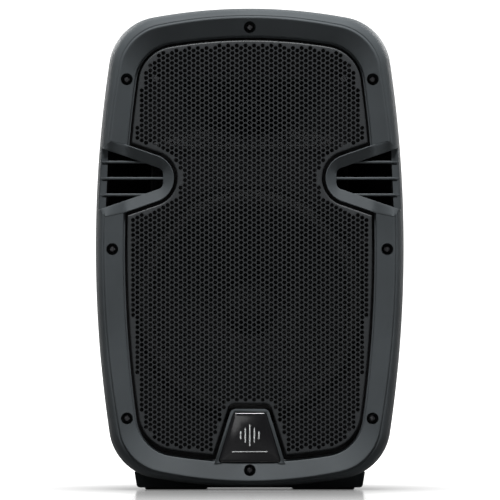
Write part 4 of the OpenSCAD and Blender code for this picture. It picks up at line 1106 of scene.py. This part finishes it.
def make_horn():
    """Flare from a wide rectangular mouth to a round throat, with a flat flange and four screw holes."""
    throat_r, throat_y = 12.7, BAFFLE_Y + 56
    mouth_y = BAFFLE_Y - 3
    steps = 18

    def section(a, b, e, y):
        return at_y(moved(superellipse(a, b, e), 0, HORN_Z), y)

    def flare(f, t, y):
        """Section at a share f of the way to the throat, grown by t."""
        return section(mix(throat_r, 92, (1 - f) ** 1.7) + t, mix(throat_r, 33, (1 - f) ** 1.25) + t,
                       mix(7, 2, f ** 0.5), y)

    rings = [section(98.6, 38, 12, mouth_y), section(94.2, 35.2, 8, mouth_y),
             section(93.0, 34.0, 7, mouth_y + 0.3)]
    rings += [flare(i / steps, 0, mix(mouth_y + 1, throat_y, i / steps)) for i in range(steps + 1)]
    rings += [section(r, r, 2, throat_y - d) for r, d in ((38, 0), (38, 4), (18, 4))]
    rings += [flare(f, 2.4, max(mix(mouth_y, throat_y, f) + 1.2, BAFFLE_Y))
              for f in (i / steps for i in range(steps - 3, -1, -1))]
    rings += [section(99, 38.4, 12, BAFFLE_Y), section(99, 38.4, 12, mouth_y + 0.5)]
    horn = add_object("horn_moulding", loft(rings[::-1], loop=True))
    carve(horn, joined(*[rod(x, HORN_Z + z, 1.8, mouth_y - 2, BAFFLE_Y + 2, 24)
                         for x in (-94.5, 94.5) for z in (-33.4, 33.4)]))
    finish_piece(horn, "black_plastic", "horn_flare", sharp=40)


# ---- handle
def make_handle():
    """Carrying handle on top: a rounded frame, a deep cup and a waisted grip across it."""
    crown_r = 500

    def plan(t, z, least_r):
        r = max(13.7 - t, least_r)
        return at_z(round_rect(HANDLE_W - 0.6 - 2 * t, HANDLE_D - 0.6 - 2 * t, r, 10), z)

    rows = [(0, -12), (0, 0.2), (0.25, 0.7), (0.8, 1), (2.2, 1), (2.9, 0.75), (3.2, 0.2), (3.2, -12)]
    rings = [[(x, y, z - crown_r + math.sqrt(crown_r ** 2 - x * x)) for x, y, z in plan(*row, 4)]
             for row in rows]
    make_piece("handle_bezel", on_top(loft(rings, loop=True)), "black_plastic", "handle_frame")

    rows = [(0, -12), (0, -46), (1.6, -50.4), (5, -52), (13, -49.5), (8, -49.1), (4.2, -46.2), (2.5, -41),
            (2.5, -12)]
    verts, faces = loft([plan(*row, 2) for row in rows], loop=True)
    outer_floor, inner_floor = 3, 4
    n = len(verts) // len(rows)
    # The cup's floor: a face below and one above, in place of the band that joins them
    faces = [f for f in faces if not (min(f) // n == outer_floor and max(f) // n == inner_floor)]
    faces += [tuple(range(outer_floor * n, outer_floor * n + n)),
              tuple(reversed(range(inner_floor * n, inner_floor * n + n)))]
    make_piece("handle_well", on_top((verts, faces)), "black_plastic", "handle_cup")

    half = (HANDLE_W - 7) / 2
    sections = []
    for i in range(25):
        x = mix(-half, half, i / 24)
        swell = smooth(abs(x), half - 9, half)
        height = 14 + 2.4 * swell - 0.8 * (1 - smooth(abs(x), 0, 30))
        sections.append([(x, u, v - 9) for u, v in round_rect(27 + 3.4 * swell, height, 6)])
    make_piece("handle_bar", on_top(loft(sections)), "black_plastic", "handle_grip")


# ---- wadding and leads
def make_wadding():
    """Two soft pads on the side walls, with uneven tufted faces."""
    middle = Vector((92, 59, 220)) * MM
    rows = [(0, 3.5), (1.5, 1.2), (4, 0.2), (8, 0), (12, 0.2), (14.5, 1.2), (16, 3.5)]
    rings = [[(84 + d, y, z) for y, z in moved(round_rect(57 - 2 * t, 219 - 2 * t, 12, 10), 59, 220)]
             for d, t in rows]
    for side, sign in (("left", -1), ("right", 1)):
        pad = add_object("wadding_" + side, loft(rings))
        with edited(pad.data) as bm:
            bmesh.ops.triangulate(bm, faces=[f for f in bm.faces if len(f.verts) > 4])
            for cuts in (3, 1):
                long_edges = [e for e in bm.edges if e.calc_length() > 12 * MM]
                bmesh.ops.subdivide_edges(bm, edges=long_edges, cuts=cuts, use_grid_fill=True)
            bmesh.ops.triangulate(bm, faces=bm.faces)
            for v in bm.verts:
                lump = noise.noise(v.co * 70) * 0.7 + noise.noise(v.co * 190) * 0.3
                v.co += (middle - v.co).normalized() * 1.2 * MM * (0.6 + lump)
                v.co.x *= sign
        finish_piece(pad, "wadding", "damping_wadding", sharp=80)


BOARD_Y = FLOOR_Y - 20
LEAD_END_Y = BOARD_Y - 1.7
LEAD_R = 1.6
WOOFER_LEAD = [(87.5, -35, 136), (88, -24, 136), (88, -8, 137), (84, 12, 142), (76, 34, 152), (66, 54, 166),
               (58, 68, 180), (51, 77, 196), (50, 81, 200), (50, LEAD_END_Y, 200)]
HORN_LEAD = [(8, 2.2, 402), (8, 8, 401), (12, 16, 394), (24, 26, 374), (38, 36, 346), (50, 46, 312),
             (58, 54, 280), (60, 60, 252), (56, 68, 234), (49, 76, 224), (48, 80.5, 222),
             (48, LEAD_END_Y, 222)]


def smooth_path(points, steps=6):
    """Catmull-Rom curve through the points."""
    points = [Vector(p) for p in points]
    path = []
    for i in range(len(points) - 1):
        a, b, c, d = (points[min(max(k, 0), len(points) - 1)] for k in (i - 1, i, i + 1, i + 2))
        for t in (j / steps for j in range(steps)):
            path.append(0.5 * (2 * b + (c - a) * t + (2 * a - 5 * b + 4 * c - d) * t * t
                               + (3 * b - a - 3 * c + d) * t ** 3))
    return path + [points[-1]]


def tube_along(path, r, n=16):
    """Round tube along a path, carried without twist."""
    rings = []
    side = (path[1] - path[0]).normalized().orthogonal()
    for i, p in enumerate(path):
        ahead = (path[min(i + 1, len(path) - 1)] - path[max(i - 1, 0)]).normalized()
        side = (side - ahead * side.dot(ahead)).normalized()
        up = ahead.cross(side)
        rings.append([tuple(p + side * u + up * v) for u, v in circle(0, 0, r, n)])
    return loft(rings)


def make_leads():
    """Two leads from the amplifier board to the drivers' terminals."""
    for name, points, look in (("woofer_lead", WOOFER_LEAD, "wire_pvc"), ("horn_lead", HORN_LEAD, "rubber")):
        lead = tube_along(smooth_path(points), LEAD_R)
        make_piece(name, lead, "wire_pvc", "wiring_loom", material=LOOKS[look])


# ---- amplifier's face
KNOB_X = {"input_1": -52, "input_2": -26, "bass": 0, "treble": 26, "main": 52}
KNOB_Z = 305
JACK_Z = 256
PHONO_X = 52
LINK_X = 26
MAINS_Z = 92
INLET_X = -34
ROCKER_X = 34


def clock(r, degrees):
    """Point at a radius and an angle from straight up, clockwise."""
    return r * math.sin(math.radians(degrees)), r * math.cos(math.radians(degrees))


def open_ring(r, end, width, n=24):
    """Thin arc clockwise from straight up."""
    outer, inner = ([clock(radius, end * i / n) for i in range(n + 1)] for radius in (r, r - width))
    return outer + inner[::-1]


def stroke(x0, z0, x1, z1, width=0.5):
    d = Vector((x1 - x0, z1 - z0)).normalized() * width / 2
    return [(x0 - d.y, z0 + d.x), (x0 + d.y, z0 - d.x), (x1 + d.y, z1 - d.x), (x1 - d.y, z1 + d.x)]


def frame_line(x0, z0, x1, z1, width=0.5):
    """Four strokes round a rectangle."""
    corners = [(x0, z0), (x1, z0), (x1, z1), (x0, z1), (x0, z0)]
    return [stroke(*a, *b, width) for a, b in zip(corners, corners[1:])]


def make_print():
    """Scale ticks and group outlines printed on the amplifier's panel, without lettering."""
    ticks = [stroke(*clock(10.2, 30 * k), *clock(12.4 if k % 5 == 0 else 11.6, 30 * k)) for k in range(-5, 6)]
    shapes = [moved(tick, x, KNOB_Z) for x in KNOB_X.values() for tick in ticks]
    shapes += frame_line(-66, 236, 66, 324, 0.6) + frame_line(-62, 70, 62, 114)
    shapes += [stroke(-66, 289.5, 66, 289.5, 0.4), stroke(39.5, 236, 39.5, 276, 0.4)]
    shapes += [stroke(ROCKER_X, 110.3, ROCKER_X, 112.6, 0.6), moved(open_ring(1.7, 350, 0.5), ROCKER_X, 74)]
    prints = joined(*[prism(shape, PANEL_Y - 0.02, PANEL_Y + 0.06) for shape in shapes])
    make_piece("panel_print", prints, "key_grey", material=INK)


def make_knob_marks():
    """White pointer set in each knob's cap."""
    for name, x in KNOB_X.items():
        cap_y = box_mm("knob_" + name)[1].y
        mark = prism(moved(round_rect(0.8, 4.6, 0.35, 4), x, KNOB_Z + 4.4), cap_y - 0.3, cap_y + 0.05)
        make_piece("pointer_" + name, mark, "key_grey", body=name + "_control", material=INK)


# ---- CAD nodes kept or softened
# Widths of the rounding on the nodes whose edges are rounded
SOFT_EDGES = {
    "phono_sockets": 0.12, "amp_heatsink": 0.25, "power_inlet": 0.25, "fuse_drawer": 0.25, "amp_panel": 0.3,
    "combo_jack_1": 0.3, "combo_jack_2": 0.3, "link_connector": 0.3, "rocker_frame": 0.3,
    "jack_latch_1": 0.35, "jack_latch_2": 0.35, "pole_socket": 0.4, "driver_rear_cover": 0.4,
    "woofer_frame": 0.4, "power_rocker": 0.5, **{"knob_" + name: 0.3 for name in KNOB_X}}


def softened(node, slot, width):
    """A copy of a CAD node with its sharp edges rounded, which stands for the node."""
    source = frame["nodes"][node]
    obj = placed(node + "_moulded", source.data.copy())
    with edited(obj.data) as bm:
        bmesh.ops.remove_doubles(bm, verts=bm.verts, dist=0.02 * MM)
        bmesh.ops.dissolve_limit(bm, angle_limit=math.radians(0.5), verts=bm.verts, edges=bm.edges)
    bevelled(obj, width)
    return finish_piece(obj, slot, node, body=source["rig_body"])


def near(x, z, cx, cz, r):
    return (x - cx) ** 2 + (z - cz) ** 2 < r * r


def in_blades(x, y, z):
    """On the mains inlet's three contact blades."""
    blades = [(INLET_X + u, MAINS_Z + 3 + v) for u, v in ((-7, 0), (7, 0), (0, 4))]
    return y >= FLOOR_Y - 13.9 and any(abs(x - bx) < 1.05 and abs(z - bz) < 2.05 for bx, bz in blades)


def in_link_pins(x, y, z):
    pins = moved([clock(5, d) for d in (-60, 180, 60)], LINK_X, JACK_Z)
    return y > FLOOR_Y - 11.9 and any(near(x, z, *pin, 1.3) for pin in pins)


def round_phonos(x, y, z):
    return not any(near(x, z, PHONO_X, JACK_Z + side, 5) for side in (8, -8))


# Nodes with a second material, and the faces that it goes on
SECOND_MATERIALS = {
    "power_inlet": ("plated_metal", in_blades),
    "link_connector": ("plated_metal", in_link_pins),
    "phono_sockets": ("black_plastic", round_phonos),
    "power_transformer": ("zinc_steel",
                          lambda x, y, z: not FLOOR_Y - 40.01 < y < FLOOR_Y - 5.99 or near(x, z, 0, 143, 5)),
    "amp_parts": ("winding", lambda x, y, z: near(x, z, 15, 224, 12.3)),
    "amp_board": ("zinc_steel", lambda x, y, z: y > BOARD_Y + 0.01),
    "woofer_terminals": ("plated_metal", lambda x, y, z: near(x, z, 87, 136, 9) and y > WOOFER_Y + 45.9)}


def dress_nodes():
    """Materials for the CAD nodes that still show, and rounded copies of those with plain edges."""
    for part in frame["record"]["subparts"]:
        name, slot = part["node"], part["material_slot"]
        node = frame["nodes"][name]
        if node.hide_render:
            continue
        if name in SOFT_EDGES:
            node = softened(name, slot, SOFT_EDGES[name])
        else:
            wear(node, LOOKS[slot])
        if name in SECOND_MATERIALS:
            second, test = SECOND_MATERIALS[name]
            tint(node, LOOKS[second], test)


# ---- camera, lights, floor, in metres
def make_stage():
    """White floor with a faint sheen that glows into the white backdrop; near the object both fade, a painted
    shadow.
    """
    half = 20 / MM
    corners = [(-half, -half), (half, -half), (half, half), (-half, half)]
    floor = add_object("floor", (at_z(corners, 0), [(0, 1, 2, 3)]))
    m = nodes_for("studio_floor")
    colour = m.ramp(m.noise(3, 2), (0.048, 0.048, 0.048), (0.052, 0.052, 0.052))
    # The floor shines on the object less than it shows
    share = m.fitted(m.add("LightPath").outputs["Is Camera Ray"], (0.22, 1))
    # Distance from the object's middle, with the painted shadow patch under it narrower across than along the
    # view
    shadow_patch = m.add("Mapping", m.add("TexCoord").outputs["Object"], Scale=(2.2, 1, 1))
    reach = m.add("VectorMath", shadow_patch.outputs["Vector"], operation="LENGTH").outputs["Value"]
    # Less gloss near the object, so the floor there reads darker: painted shade
    sheen = m.add("MixShader", m.product(m.fitted(reach, (0.15, 0.6), (0.15, 0.5)), share),
                  m.add("BsdfDiffuse", Color=colour).outputs[0],
                  m.add("BsdfGlossy", Roughness=0.1, Color=(1, 1, 1, 1)).outputs[0])
    # Dimmer glow near the object: a painted contact shadow; further out the floor glows evenly bright
    painted_shadow_glow = m.add("Emission", Strength=m.product(m.fitted(reach, (0.11, 1.05), (0.25, 1.9)), share))
    both = m.add("AddShader", sheen.outputs[0], painted_shadow_glow.outputs[0])
    m.feed(m.tree.nodes["Material Output"], Surface=both.outputs[0])
    floor.data.materials.append(m.owner)


def make_world():
    """White backdrop to the camera; as light it is bright behind the object and dim in front."""
    world = bpy.data.worlds.new("studio")
    bpy.context.scene.world = world
    m = Nodes(world, Color=(1, 1, 1, 1))
    # How far a direction points back and down
    direction = m.add("TexCoord").outputs["Generated"]
    behind = m.add("VectorMath", direction, (0, 1, -0.45), operation="DOT_PRODUCT")
    level = m.fitted(behind.outputs["Value"], (0.12, 1.4), (-0.5, 0.3))
    seen = m.add("LightPath").outputs["Is Camera Ray"]
    m.finish(Strength=m.add("Math", level, seen, operation="MAXIMUM").outputs[0])


def add_light(name, place, target, size, power, roll=0):
    data = bpy.data.lights.new(name, "AREA")
    data.shape = "RECTANGLE"
    data.size, data.size_y = size
    data.energy = power
    light = placed(name, data)
    light.location = place
    aim = (Vector(target) - Vector(place)).to_track_quat("-Z", "Y")
    light.rotation_euler = (aim @ Quaternion((0, 0, 1), math.radians(roll))).to_euler()
    light.visible_camera = False


def make_lights():
    """A soft light overhead, a small one for the badge's glint, and two fills behind."""
    add_light("overhead_softbox", (0, -1.4, 3.55), (0, -0.1, 0.25), (1.6, 0.9), 600)
    add_light("badge_glint", (-0.26, -2.4, 0.36), (0, -0.117, 0.055), (0.3, 0.5), 1.6, roll=35)
    for name, x in (("rear_fill_left", 1.5), ("rear_fill_right", -1.5)):
        add_light(name, (x, 2.3, 1.3), (0, 0.1, 0.22), (1.0, 1.0), 75)


def make_camera():
    """Long lens straight in front, at the cabinet's middle height."""
    distance = 18
    view_width = 0.50315
    data = bpy.data.cameras.new("camera")
    data.sensor_width = 36
    data.lens = data.sensor_width * distance / view_width
    data.clip_end = 200
    camera = placed("camera", data)
    camera.location = (0.00025, FRONT_Y * MM - distance, 0.242)
    camera.rotation_euler = (math.pi / 2, 0, 0)
    bpy.context.scene.camera = camera


make_camera()
make_stage()
make_world()
make_lights()
bpy.context.scene.view_settings.view_transform = "Standard"

make_front_shell()
make_port("left")
make_port("right")
make_case_screws()
make_grille()
make_badge()
make_rear_shell()
make_gasket()
make_feet()
make_surround()
make_spider()
make_cone()
make_horn()
make_handle()
make_wadding()
make_leads()
make_print()
make_knob_marks()
dress_nodes()
